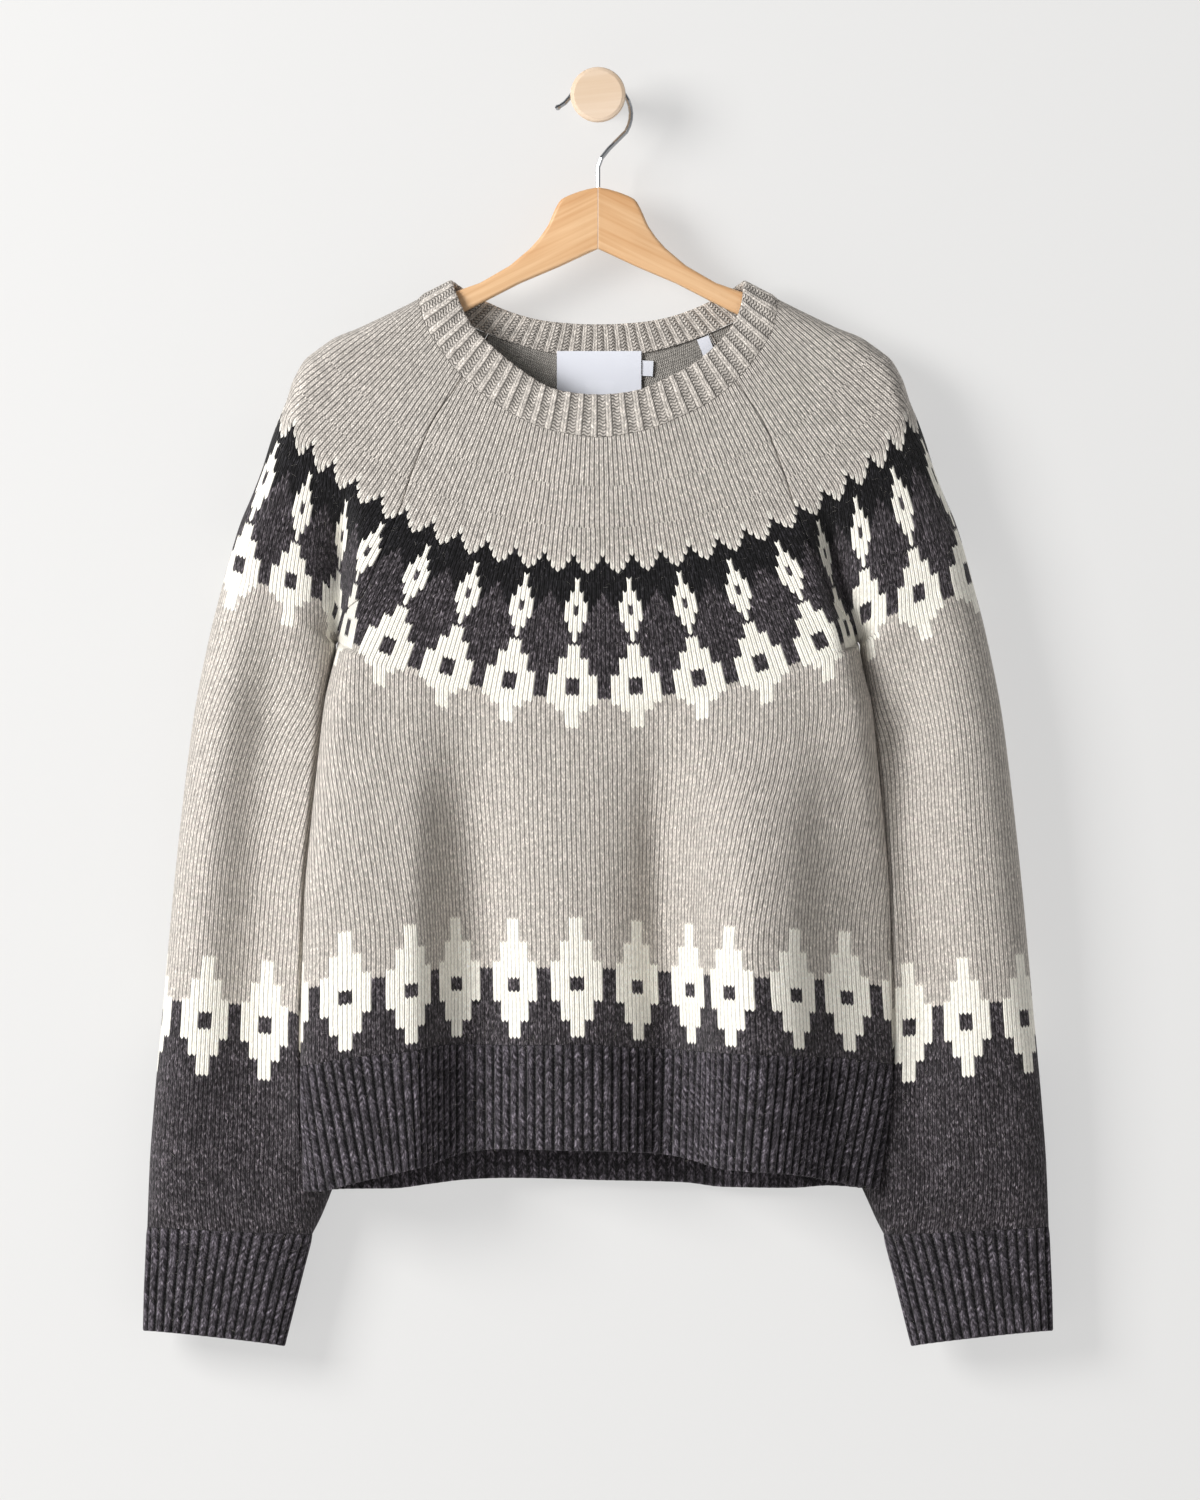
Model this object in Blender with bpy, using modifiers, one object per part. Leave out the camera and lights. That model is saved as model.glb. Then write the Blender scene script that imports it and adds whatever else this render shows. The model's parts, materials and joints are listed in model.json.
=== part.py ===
"""A nordic sweater with a patterned yoke, hung on a wooden hanger from a round wall peg.

Sizes are millimetres, and MM turns them into metres. The origin is the middle of the peg's flat
back, the wall is the plane y = 0, the front of the sweater faces -Y and +Z is up.

The cloth is one knitted surface, worked out ring by ring. The yoke's rings lie round one centre
point above the neck, as the knitting does. Below the underarm the surface parts into a body tube
and two sleeve tubes. Each ring is a closed loop, and a piece of the sweater is the stretch of the
loops between two seams, given a wall that is 3 mm thick.
"""

import math

import bmesh
import bpy
import numpy as np

MM = 0.001
COLLECTION = "nordic_sweater"

# Cloth and seams
WALL = 3.0
SEAM_GAP = 0.36
RIB_RELIEF = 1.2
HEM_RIB_PITCH = 6.5
CUFF_RIB_PITCH = 6.2
NECK_RIB_PITCH = 8.1

# Yoke rings: their centre, and the ring that meets the underarm
CENTRE_Z = -28.0
UNDERARM_RADIUS = 371.0
NECK_RIDGE_RADIUS = 157.0
NECK_RIDGE_ANGLE = 48.5
NECK_TOP_ANGLE = 46.2
LOOP_SAMPLES = 700
LOOP_POINTS = 1500
LOOP_SOFTNESS = 3.0

# Wood, wire and peg
HANGER_THICKNESS = 12.0
HANGER_Y = -30.0
HANGER_EDGE = 3.0
WIRE_RADIUS = 1.5
HOOK_RADIUS = 21.5
HOOK_CENTRE_Z = -12.0
HOOK_FOOT_Z = -59.4
PEG_DISC_RADIUS = 18.0
PEG_NECK_RADIUS = 7.7
PEG_BASE_RADIUS = 13.0
PEG_LENGTH = 48.0


def table(columns, *rows):
    """Give rows of numbers as one array for each named column."""
    return dict(zip(columns.split(), np.array(rows, dtype=float).T))


# Shoulder and upper sleeve outline, from the neck outwards and down
SHOULDER = table(
    "x z",
    (96, -120),
    (119, -133),
    (137, -142),
    (155, -150.5),
    (175, -159.5),
    (188, -169),
    (197.5, -183),
    (203, -199),
    (208, -211),
    (212, -222),
    (219, -244),
    (226, -262),
    (232, -276),
    (240, -302),
    (248, -333),
)
# Neck seam and the neckband's free edge, as distances from the yoke's centre. Share 0 is the
# middle of the front or back, and share 1 the top of the shoulder.
NECK = table(
    "share front back front_top back_top",
    (0.00, 195.0, 141.0, 167.0, 120.0),
    (0.20, 192.5, 141.5, 166.0, 121.0),
    (0.40, 186.5, 142.5, 158.5, 123.5),
    (0.60, 179.0, 145.0, 151.0, 126.0),
    (0.75, 172.0, 148.0, 146.0, 128.0),
    (0.87, 166.0, 151.5, 139.0, 130.0),
    (1.00, 157.0, 157.0, 132.0, 132.0),
)
# How far the front and back walls stand from the wall behind, by height
DEPTH = table(
    "height front back",
    (120, -40.5, -20.0),
    (150, -43.0, -19.0),
    (175, -48.0, -16.0),
    (200, -53.0, -14.0),
    (230, -58.0, -13.0),
    (280, -62.0, -11.5),
    (340, -66.0, -10.5),
)
# Rounding over the shoulder ridge, by the ridge's distance from the yoke's centre
RIDGE = table(
    "radius y reach",
    (132, -30, 10.5),
    (235, -30, 10.5),
    (260, -31, 15.0),
    (300, -32, 19.0),
    (371, -32, 22.0),
)
# The fold from the yoke into the armpit: where its crest turns back, and how deep it goes
ARMPIT = table(
    "radius left right front_depth back_depth",
    (270, 164, 143, 0, 0),
    (285, 164, 146, 3, 0),
    (297, 165, 149, 9, 0),
    (310, 166, 153, 12, 1),
    (340, 168, 162, 15, 3),
    (355, 169, 166.5, 21, 6),
    (371, 170, 170, 37, 17),
)
CREST_ROUND = 18.0
SLEEVE_ROUND = 30.0
SLEEVE_SET_BACK = 8.0
# Raglan seams, as angles from the yoke's centre line
RAGLAN = table(
    "radius angle",
    (150, 29.6),
    (180, 29.6),
    (210, 30.2),
    (243, 29.2),
    (274, 28.0),
    (301, 27.5),
    (337, 27.0),
    (371, 26.5),
)
SEAM_SLIP = (0.48, 0.80)
# Where the body's side passes in front of the sleeve, by the drop below the underarm
SIDE_LEFT = table(
    "drop front_x front_y back_x back_y",
    (0, 170, -27, 170, -27),
    (16, 173.5, -38, 169, -25),
    (37, 178, -46, 168.5, -22),
    (72, 182, -51, 170, -20),
    (118, 187, -53, 171, -19),
    (163, 191, -54, 171, -18),
    (264, 193.5, -54, 169, -18),
    (352, 191, -52, 168, -18),
)
SIDE_RIGHT = table(
    "drop front_x front_y back_x back_y",
    (0, 170, -27, 170, -27),
    (16, 173, -32, 169, -24),
    (37, 178, -35, 168.5, -21),
    (72, 182, -37, 170, -18),
    (118, 187, -38, 171, -17),
    (163, 191, -38, 171, -16),
    (264, 193, -38, 169, -16),
    (352, 183.5, -38, 165, -16),
)
SLIT = table("drop width", (0, 0.4), (16, 1.0), (72, 2.4), (500, 2.4))
# Vertical folds of the body's front, at the underarm and at the hem
FRONT_FOLDS = table(
    "top hem forward",
    (-176, -200, 2),
    (-150, -152, 10),
    (-122, -122, 8),
    (-88, -84, -25),
    (-50, -40, -4),
    (-26, -19, 0),
    (0, 2, -3),
    (20, 22, -12),
    (36, 43, -25),
    (54, 62, -11),
    (70, 79, 14),
    (92, 102, 26),
    (118, 124, 19),
    (145, 152, -4),
    (176, 200, -24),
)
BACK_FOLDS = table(
    "top hem forward",
    (-176, -200, 8),
    (-150, -170, 7),
    (-125, -140, 3),
    (-92, -96, 0),
    (-60, -58, 4.5),
    (-22, -20, 0),
    (22, 26, 5),
    (64, 70, 0),
    (98, 110, 4),
    (128, 145, 1),
    (150, 170, 6),
    (176, 200, 6),
)
FOLD_FADE = table("level share", (0, 0.10), (0.12, 0.22), (0.4, 0.72), (0.75, 1.0), (1, 1.0))
FRONT_BASE = -66.0
BACK_BASE = -10.0
SIDE_ROUND = 14.0
BACK_SIDE_ROUND = 12.0
# Lower edge of the body's knit panels, and of the hem's front and back
RIB_SEAM = table(
    "x z",
    (-193, -631),
    (-162, -625),
    (-123, -621),
    (-94, -617),
    (-59, -617.5),
    (-7, -616.5),
    (11, -618),
    (62, -621),
    (88, -622),
    (127, -623.5),
    (165, -626),
    (193, -630.5),
)
HEM = table(
    "x front back",
    (-193, -713, -713),
    (-180, -711, -712.5),
    (-162, -704.5, -712),
    (-136, -699.5, -712),
    (-110, -694.5, -709),
    (-84, -687, -706),
    (-59, -685, -705),
    (0, -686, -706.5),
    (30, -687.5, -707),
    (56, -691, -708),
    (82, -697, -711),
    (127, -699, -711.5),
    (155, -702.5, -709),
    (183, -709, -709.5),
)
# Sleeve from the underarm ring to the cuff, and the cuff
SLEEVE = table(
    "level outer_x outer_z inner_z front out_y",
    (0.00, 242, -309, -357.8, -58, -32),
    (0.10, 252.5, -350, -394, -57, -32),
    (0.25, 263, -403, -440, -56, -32),
    (0.40, 270.5, -462, -497, -55, -32),
    (0.55, 277, -524, -556, -54, -32),
    (0.70, 283, -590, -617, -52, -31),
    (0.85, 289, -655, -676, -50, -31),
    (0.95, 292.5, -704, -719, -48, -30),
    (1.00, 293.5, -736, -741, -46, -30),
)
SLEEVE_INNER = table("z x y", (-741, 186, -28), (-719, 175, -23), (-700, 170, -19), (-660, 170, -18))
SLEEVE_BACK_Y = -8.0
SLEEVE_FOLDS_LEFT = table("share forward", (0, 0), (0.21, 3), (0.53, -11), (0.8, -7), (1, -8))
SLEEVE_FOLDS_RIGHT = table("share forward", (0, 0), (0.31, 4), (0.68, -19), (0.84, -26), (1, -28))
SLEEVE_FADE = table("level share", (0, 0), (0.08, 0.5), (0.22, 1), (0.62, 1), (0.9, 0.35), (1, 0.1))
CUFF = table(
    "level outer_x outer_z inner_x inner_z front back",
    (0.0, 293.5, -736, 186, -741, -46, -10),
    (0.3, 294.5, -757, 192, -764, -43, -13),
    (0.6, 295.5, -781, 198, -788, -42, -14),
    (1.0, 296, -804, 204.5, -814, -42, -14),
)
# Hanger half: upper edge to the arm's end, then the lower edge back to the middle
HANGER_TOP = table(
    "x z",
    (0.15, -59.8),
    (24.7, -67.6),
    (27.5, -72.5),
    (32.5, -84.5),
    (44.2, -99.5),
    (57.2, -110.5),
    (76.7, -121.8),
    (91.6, -127.0),
    (104.0, -131.0),
)
HANGER_BOTTOM = table(
    "x z",
    (104.0, -149.0),
    (86.5, -140.4),
    (50.7, -122.0),
    (24.7, -111.0),
    (0.15, -99.5),
)
HANGER_ARM_DEPTH = 18.0
HANGER_ARM_END = 184.0
HANGER_SEAT_GAP = 2.4
HANGER_END_GAP = 2.6
# Labels at the back of the neck: middle, width, height and tilt in degrees
LABELS = table(
    "x z width height tilt proud",
    (0.7, -180.0, 55.0, 28.5, 0.0, 1.2),
    (32.3, -177.0, 7.2, 10.0, -3.0, 0.6),
    (70.5, -162.8, 8.0, 12.5, 22.0, 0.6),
)
LABEL_NAMES = ("neck_label", "size_tab", "care_tag")
LABEL_THICKNESS = 0.6


def curve(xs, ys, at):
    """Read a smooth curve through a table's points, which never overshoots them."""
    step = np.diff(xs)
    slope = np.diff(ys) / step
    product = slope[1:] * slope[:-1]
    total = slope[1:] + slope[:-1]
    tangent = np.zeros(len(xs))
    tangent[0] = slope[0]
    tangent[-1] = slope[-1]
    tangent[1:-1] = np.where(product > 0, 2 * product / np.where(total == 0, 1, total), 0)
    at = np.clip(at, xs[0], xs[-1])
    i = np.clip(np.searchsorted(xs, at, side="right") - 1, 0, len(xs) - 2)
    f = (at - xs[i]) / step[i]
    start = (1 + 2 * f) * (1 - f) ** 2 * ys[i] + f * (1 - f) ** 2 * step[i] * tangent[i]
    end = f * f * (3 - 2 * f) * ys[i + 1] - f * f * (1 - f) * step[i] * tangent[i + 1]
    return start + end


def smooth(low, high, value):
    """Rise from 0 at low to 1 at high, level at both ends."""
    f = np.clip((value - low) / (high - low), 0, 1)
    return f * f * (3 - 2 * f)


def rounded(distance, reach, power=2.0):
    """Rise from 0 at an edge to 1 at its reach, upright at the edge like a quarter of an oval."""
    f = np.clip(distance / reach, 0, 1)
    return (1 - (1 - f) ** power) ** (1 / power)


def eased(distance, reach):
    """Rise from 0 at a fold's bottom to 1 at its reach, steep but not upright at the bottom."""
    f = np.clip(distance / reach, 0, 1)
    return 1 - (1 - f) ** 2


def shoulder_angle(radius):
    """Angle of the shoulder outline at a distance from the yoke's centre."""
    radii = np.hypot(SHOULDER["x"], SHOULDER["z"] - CENTRE_Z)
    angles = np.arctan2(SHOULDER["x"], CENTRE_Z - SHOULDER["z"])
    return curve(radii, angles, radius)


def out_shares():
    """Shares from a centre line out to an edge, closer together towards the edge."""
    return np.sin(np.linspace(0, math.pi / 2, LOOP_SAMPLES))


def yoke_quarter(side, front, level):
    """Points of one yoke ring from the centre line to the shoulder ridge.

    Level 0 is the neck seam, 1 the underarm and -1 the neckband's free edge.
    """
    share = out_shares()
    half = "front" if front else "back"
    neck = curve(NECK["share"], NECK[half], share)
    if level < 0:
        top = curve(NECK["share"], NECK[half + "_top"], share)
        radius = neck + (top - neck) * -level
        ridge = radius[-1]
        ridge_angle = math.radians(NECK_RIDGE_ANGLE + (NECK_TOP_ANGLE - NECK_RIDGE_ANGLE) * -level)
    else:
        radius = neck + (UNDERARM_RADIUS - neck) * level
        ridge = NECK_RIDGE_RADIUS + (UNDERARM_RADIUS - NECK_RIDGE_RADIUS) * level
        ridge_angle = shoulder_angle(ridge)
    angle = share * ridge_angle
    x = radius * np.sin(angle)
    z = CENTRE_Z - radius * np.cos(angle)
    y = curve(DEPTH["height"], DEPTH[half], -z)
    edge = curve(ARMPIT["radius"], ARMPIT["right" if side > 0 else "left"], radius)
    deepest = curve(ARMPIT["radius"], ARMPIT[half + "_depth"], radius)
    turn = deepest if front else -deepest
    share_set_back = deepest / ARMPIT["front_depth"][-1] if front else 0
    sleeve_y = y + SLEEVE_SET_BACK * share_set_back
    valley = y + turn
    body_wall = valley + (y - valley) * eased(edge - x, CREST_ROUND)
    sleeve_wall = valley + (sleeve_y - valley) * eased(x - edge, SLEEVE_ROUND)
    y = np.where(x < edge, body_wall, sleeve_wall)
    ridge_y = curve(RIDGE["radius"], RIDGE["y"], ridge)
    reach = curve(RIDGE["radius"], RIDGE["reach"], ridge)
    y = ridge_y + (y - ridge_y) * rounded((1 - share) * ridge * ridge_angle, reach)
    return np.column_stack((side * x, y, z))


def side_table(side):
    """The table of the body's side on the left or right."""
    return SIDE_RIGHT if side > 0 else SIDE_LEFT


def side_points(side, drop, sleeve):
    """Front and back corners of the body's side, or of the sleeve's side behind it."""
    rows = side_table(side)
    half_slit = curve(SLIT["drop"], SLIT["width"], drop)
    shift = half_slit if sleeve else -SEAM_GAP / 2
    read = lambda name: float(curve(rows["drop"], rows[name], drop))
    front = np.array((read("front_x") + shift, read("front_y")))
    back = np.array((read("back_x") + shift, read("back_y")))
    return front, back


def from_side(middle, corner, profile, inner_x, reach):
    """Join the middle of the side to its corner, and the corner to the wall beyond it.

    The wall is a height field, rounded where it leaves the corner. The result runs from the
    far end of the wall to the middle of the side.
    """
    x = corner[0] + (inner_x - corner[0]) * (1 - out_shares())
    wall = corner[1] + (profile(x) - corner[1]) * rounded(np.abs(x - corner[0]), reach)
    f = np.linspace(0, 1, 40)[1:]
    link = corner + (middle - corner) * f[:, None]
    return np.vstack((np.column_stack((x, wall)), link))


def body_quarter(side, front, level, hem=0.0):
    """Points of one ring of the body tube from its centre line to the side seam."""
    underarm_z = float(ring_z(170.0))
    rows = side_table(side)
    edge_seam = -630.0
    side_z = underarm_z + (edge_seam - underarm_z) * level + (-712.0 - edge_seam) * hem
    drop = underarm_z - side_z
    ahead, behind = side_points(side, drop, sleeve=False)
    middle = (ahead + behind) / 2
    corner = ahead if front else behind
    folds = FRONT_FOLDS if front else BACK_FOLDS
    fade = float(curve(FOLD_FADE["level"], FOLD_FADE["share"], level))
    low = min(1.0, level + hem)
    places = folds["top"] + (folds["hem"] - folds["top"]) * low

    def profile(x):
        forward = curve(places, folds["forward"], side * x)
        return (FRONT_BASE if front else BACK_BASE) - fade * forward

    reach = SIDE_ROUND if front else BACK_SIDE_ROUND
    flat = from_side(middle, corner, profile, 0.0, reach)
    x = flat[:, 0]
    widest = max(ahead[0], behind[0])
    arc = ring_z(x * 170.0 / widest)
    seam = curve(RIB_SEAM["x"], RIB_SEAM["z"], side * x * 193.0 / widest)
    end = curve(HEM["x"], HEM["front" if front else "back"], side * x)
    side_share = rows["front_x"][-1]
    f = np.clip(x / side_share, 0, 1) ** 6
    end = end + (-712.0 - end) * f
    z = arc + (seam - arc) * level
    z = z + (end - seam) * hem
    return np.column_stack((side * x, flat[:, 1], z))


def ring_z(x):
    """Height of the underarm ring at a place across the body."""
    return CENTRE_Z - np.sqrt(np.maximum(UNDERARM_RADIUS**2 - np.square(x), 0))


def sleeve_half(side, front, level):
    """Points of one ring of a sleeve tube from its outer edge to its underarm seam."""
    read = lambda name: float(curve(SLEEVE["level"], SLEEVE[name], level))
    outer_x, outer_z, inner_z = read("outer_x"), read("outer_z"), read("inner_z")
    front_y, out_y = read("front"), read("out_y")
    drop = ring_z(170.0) - inner_z
    ahead, behind = side_points(side, float(drop), sleeve=True)
    free = float(smooth(-690.0, -720.0, inner_z))
    inner_x = float(curve(SLEEVE_INNER["z"], SLEEVE_INNER["x"], inner_z))
    inner_y = float(curve(SLEEVE_INNER["z"], SLEEVE_INNER["y"], inner_z))
    inner = np.array((inner_x, inner_y))
    ahead = ahead + (inner - ahead) * free
    behind = behind + (inner - behind) * free
    middle = (ahead + behind) / 2
    corner = ahead if front else behind
    folds = SLEEVE_FOLDS_RIGHT if side > 0 else SLEEVE_FOLDS_LEFT
    fade = float(curve(SLEEVE_FADE["level"], SLEEVE_FADE["share"], level))
    width = outer_x - inner_x if free > 0 else outer_x - behind[0]

    def profile(x):
        if not front:
            return np.full_like(x, SLEEVE_BACK_Y - 2.0 * level)
        return front_y - fade * curve(folds["share"], folds["forward"], (outer_x - x) / width)

    flat = from_side(middle, corner, profile, outer_x, SLEEVE_ROUND if front else 20.0)
    from_outer = rounded(outer_x - flat[:, 0], 22.0)
    y = out_y + (flat[:, 1] - out_y) * from_outer
    x = flat[:, 0]
    share = (outer_x - x) / (outer_x - behind[0])
    z = outer_z + (inner_z - outer_z) * share
    span = outer_x - behind[0]
    chord = -309.0 + (float(ring_z(170.0)) + 309.0) * share
    bulge = (ring_z(242.0 - share * 72.0) - chord) * max(0.0, 1 - level / 0.3)
    z = z + bulge if span > 0 else z
    return np.column_stack((side * x, y, z))


def cuff_half(side, front, level):
    """Points of one ring of a cuff from its outer edge to its inner edge."""
    read = lambda name: float(curve(CUFF["level"], CUFF[name], level))
    outer = np.array((read("outer_x"), read("outer_z")))
    inner = np.array((read("inner_x"), read("inner_z")))
    turn = np.linspace(0, math.pi, 2 * LOOP_SAMPLES)
    share = (1 - np.cos(turn)) / 2
    middle_y = -30.0 + 2.0 * (1 - level) * share
    depth = read("front" if front else "back") - middle_y
    y = middle_y + depth * np.sin(turn) ** 0.75
    x = outer[0] + (inner[0] - outer[0]) * share
    z = outer[1] + (inner[1] - outer[1]) * share + 1.5 * np.sin(turn) * level
    return np.column_stack((side * x, y, z))


def joined(quarters):
    """One closed loop from stretches that follow on, with a place that rises by 1 on each.

    The loop is softened as it is joined, because wool takes no sharp corner.
    """
    points = np.vstack([stretch[:-1] for stretch in quarters] + [quarters[-1][-1:]])
    places = []
    for number, stretch in enumerate(quarters):
        length = np.concatenate(((0,), np.cumsum(np.linalg.norm(np.diff(stretch, axis=0), axis=1))))
        places.append(number + length[:-1] / length[-1])
    places = np.concatenate(places + [[float(len(quarters))]])
    length = np.concatenate(((0,), np.cumsum(np.linalg.norm(np.diff(points, axis=0), axis=1))))
    even = np.linspace(0, length[-1], LOOP_POINTS, endpoint=False)
    spread = LOOP_SOFTNESS / (length[-1] / LOOP_POINTS)
    waves = np.fft.fftfreq(LOOP_POINTS)
    damping = np.exp(-2 * (math.pi * waves * spread) ** 2)
    loop = [np.interp(even, length, points[:, i]) for i in range(3)]
    soft = np.column_stack([np.fft.ifft(np.fft.fft(row) * damping).real for row in loop])
    at = np.interp(even, length, places)
    return np.append(at, places[-1]), np.vstack((soft, soft[:1]))


def yoke_ring(level):
    """A yoke loop: left shoulder 0, front centre 1, right shoulder 2, back centre 3."""
    return joined(
        (
            yoke_quarter(-1, True, level)[::-1],
            yoke_quarter(1, True, level),
            yoke_quarter(1, False, level)[::-1],
            yoke_quarter(-1, False, level),
        )
    )


def body_ring(level, hem=0.0):
    """A body loop: left side seam 0, front centre 1, right side seam 2, back centre 3."""
    return joined(
        (
            body_quarter(-1, True, level, hem)[::-1],
            body_quarter(1, True, level, hem),
            body_quarter(1, False, level, hem)[::-1],
            body_quarter(-1, False, level, hem),
        )
    )


def tube_ring(side, half, level):
    """A sleeve or cuff loop of two stretches: the underarm seam is at 0 and the outside at 1."""
    first = side > 0
    return joined((half(side, first, level)[::-1], half(side, not first, level)))


def cuff_ring(side, level):
    """A loop of a cuff, from its seam with the sleeve at level 0 to its edge at level 1."""
    return tube_ring(side, cuff_half, level)


def sleeve_ring(side, level):
    """A loop of a sleeve, from the underarm at level 0 to the cuff, whose shape it takes there."""
    places, points = tube_ring(side, sleeve_half, level)
    cuff = place_on(cuff_ring(side, 0.0), np.clip(places, 0, 1.99999))
    share = float(smooth(0.8, 1.0, level))
    cuff[-1] = cuff[0]
    return places, points + (cuff - points) * share


def place_on(ring, place):
    """Points of a loop at given places, which may run on past its end."""
    places, points = ring
    end = places[-1]
    at = np.asarray(place) % end
    return np.column_stack([np.interp(at, places, points[:, i]) for i in range(3)])


def seam_place(side, front, level):
    """Place of a raglan seam on a yoke ring, which slips into the armpit's fold at its end."""
    places, points = yoke_ring(level)
    quarter = {(-1, True): 0, (1, True): 1, (1, False): 2, (-1, False): 3}[(side, front)]
    inside = (places >= quarter) & (places <= quarter + 1)
    radius = np.hypot(points[inside, 0], points[inside, 2] - CENTRE_Z)
    angle = np.degrees(np.arctan2(np.abs(points[inside, 0]), CENTRE_Z - points[inside, 2]))
    wanted = curve(RAGLAN["radius"], RAGLAN["angle"], radius)
    edge = curve(ARMPIT["radius"], ARMPIT["right" if side > 0 else "left"], radius)
    on_raglan = places[inside][np.argmin(np.abs(angle - wanted))]
    in_fold = places[inside][np.argmin(np.abs(np.abs(points[inside, 0]) - edge))]
    return on_raglan + (in_fold - on_raglan) * float(smooth(*SEAM_SLIP, level))


def grid_of(rings, places, step=1e-3):
    """Points and outward directions for rows of loops, read at each row's places.

    Each row gives three loops: a little above, on, and a little below it.
    """
    points = []
    outward = []
    for (above, on, below), row in zip(rings, places):
        along = place_on(on, row + step) - place_on(on, row - step)
        down = place_on(below, row) - place_on(above, row)
        normal = np.cross(down, along)
        points.append(place_on(on, row))
        outward.append(normal / np.linalg.norm(normal, axis=1)[:, None])
    return np.array(points), np.array(outward)


def near(function, level, low, high, step=0.004):
    """Three loops round a level, kept inside the range where the function holds."""
    return (
        function(max(low, level - step)),
        function(level),
        function(min(high, level + step)),
    )


def yoke_rings(level):
    """Three loops round a level of the yoke or the neckband."""
    return near(yoke_ring, level, -1.0, 1.0)


def body_rings(level):
    """Three loops round a level of the body; level 1 is the rib seam and 2 the hem's edge."""
    return near(lambda at: body_ring(min(at, 1.0), max(at - 1.0, 0.0)), level, 0.0, 2.0)


def sleeve_rings(side, level):
    """Three loops round a level of a sleeve; level 1 is the cuff's seam and 2 its edge."""
    whole = lambda at: sleeve_ring(side, at) if at <= 1 else cuff_ring(side, at - 1)
    return near(whole, level, 0.0, 2.0)


def along_chords(grid, rings, seam_places, places):
    """Move a rib's first row onto the straight stretches between its neighbours' points."""
    end = rings[1][0][-1]
    at = np.sort(np.unique(np.round(np.concatenate(seam_places) % end, 9)))
    corners = grid_of([rings], [at])
    at = np.append(at, at[0] + end)
    wanted = at[0] + (places - at[0]) % end
    for values, corner in zip(grid, corners):
        row = np.vstack((corner[0], corner[0][:1]))
        values[0] = np.column_stack([np.interp(wanted, at, row[:, i]) for i in range(3)])


def open_seams(grid, outward, rows=False):
    """Draw a grid in by half a seam's gap at its first and last columns, or rows."""
    points = grid if rows else grid.transpose(1, 0, 2)
    normals = outward if rows else outward.transpose(1, 0, 2)
    for end, inside in ((0, 1), (-1, -2)):
        step = points[inside] - points[end]
        step -= normals[end] * (step * normals[end]).sum(axis=1)[:, None]
        points[end] += step / np.linalg.norm(step, axis=1)[:, None] * SEAM_GAP / 2


def material(name, red, green, blue, roughness, metallic=0.0):
    """A Principled material of one colour."""
    made = bpy.data.materials.new(name)
    made.use_nodes = True
    shader = made.node_tree.nodes["Principled BSDF"]
    shader.inputs["Base Color"].default_value = (red, green, blue, 1.0)
    shader.inputs["Roughness"].default_value = roughness
    shader.inputs["Metallic"].default_value = metallic
    made.diffuse_color = (red, green, blue, 1.0)
    return made


def add_object(name, data, finish, collection):
    """Put a mesh or curve into the collection under its node's name."""
    made = bpy.data.objects.new(name, data)
    data.materials.append(finish)
    collection.objects.link(made)
    return made


def cloth(name, points, outward, finish, collection, relief=None, closed=False):
    """Build a knitted piece as a wall between an outer grid, with its relief, and a plain inside."""
    rows, columns = points.shape[:2]
    raised = np.zeros((rows, columns)) if relief is None else relief
    outer = points + outward * raised[:, :, None]
    inner = points - outward * WALL
    mesh = bmesh.new()
    layers = []
    for layer in (outer, inner):
        layers.append([[mesh.verts.new(p * MM) for p in row] for row in layer])
    front, back = layers
    last = columns if closed else columns - 1
    for i in range(rows - 1):
        for j in range(last):
            k = (j + 1) % columns
            mesh.faces.new((front[i][j], front[i + 1][j], front[i + 1][k], front[i][k]))
            mesh.faces.new((back[i][j], back[i][k], back[i + 1][k], back[i + 1][j]))
    for j in range(last):
        k = (j + 1) % columns
        mesh.faces.new((front[0][j], front[0][k], back[0][k], back[0][j]))
        mesh.faces.new((front[-1][k], front[-1][j], back[-1][j], back[-1][k]))
    if not closed:
        for i in range(rows - 1):
            mesh.faces.new((front[i + 1][0], front[i][0], back[i][0]))
            mesh.faces.new((front[i + 1][0], back[i][0], back[i + 1][0]))
            mesh.faces.new((front[i][-1], front[i + 1][-1], back[i][-1]))
            mesh.faces.new((front[i + 1][-1], back[i + 1][-1], back[i][-1]))
    data = bpy.data.meshes.new(name)
    mesh.to_mesh(data)
    mesh.free()
    data.shade_smooth()
    return add_object(name, data, finish, collection)


YOKE_LEVELS = (0.0, 0.1, 0.2, 0.31, 0.42, 0.52, 0.61, 0.69, 0.76, 0.83, 0.89, 0.945)
BODY_LEVELS = (0.0, 0.06, 0.13, 0.22, 0.33, 0.45, 0.58, 0.72, 0.86, 1.0)
SLEEVE_LEVELS = (0.0, 0.04, 0.09, 0.16, 0.25, 0.35, 0.46, 0.58, 0.7, 0.82, 0.91, 1.0)


def to_edge(count):
    """Shares from 0 at a centre line to 1 at a seam, closer together towards the seam."""
    share = np.linspace(0, 1, count)
    return share * (1.6 - 0.6 * share)


def panel(front, columns):
    """Grid of the front or back panel, from the neck seam to the hem's rib."""
    share = to_edge(columns)
    centre = 1.0 if front else 3.0
    first, second = (-1, 1) if front else (1, -1)
    rings = []
    places = []
    for level in YOKE_LEVELS:
        low = seam_place(first, front, level)
        high = seam_place(second, front, level)
        left = centre - share[::-1] * (centre - low)
        right = centre + share[1:] * (high - centre)
        rings.append(yoke_rings(level))
        places.append(np.concatenate((left, right)))
    for level in BODY_LEVELS:
        rings.append(body_rings(level))
        places.append(np.concatenate((centre - share[::-1], centre + share[1:])))
    points, outward = grid_of(rings, places)
    return points, outward, places[0], places[-1]


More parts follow.
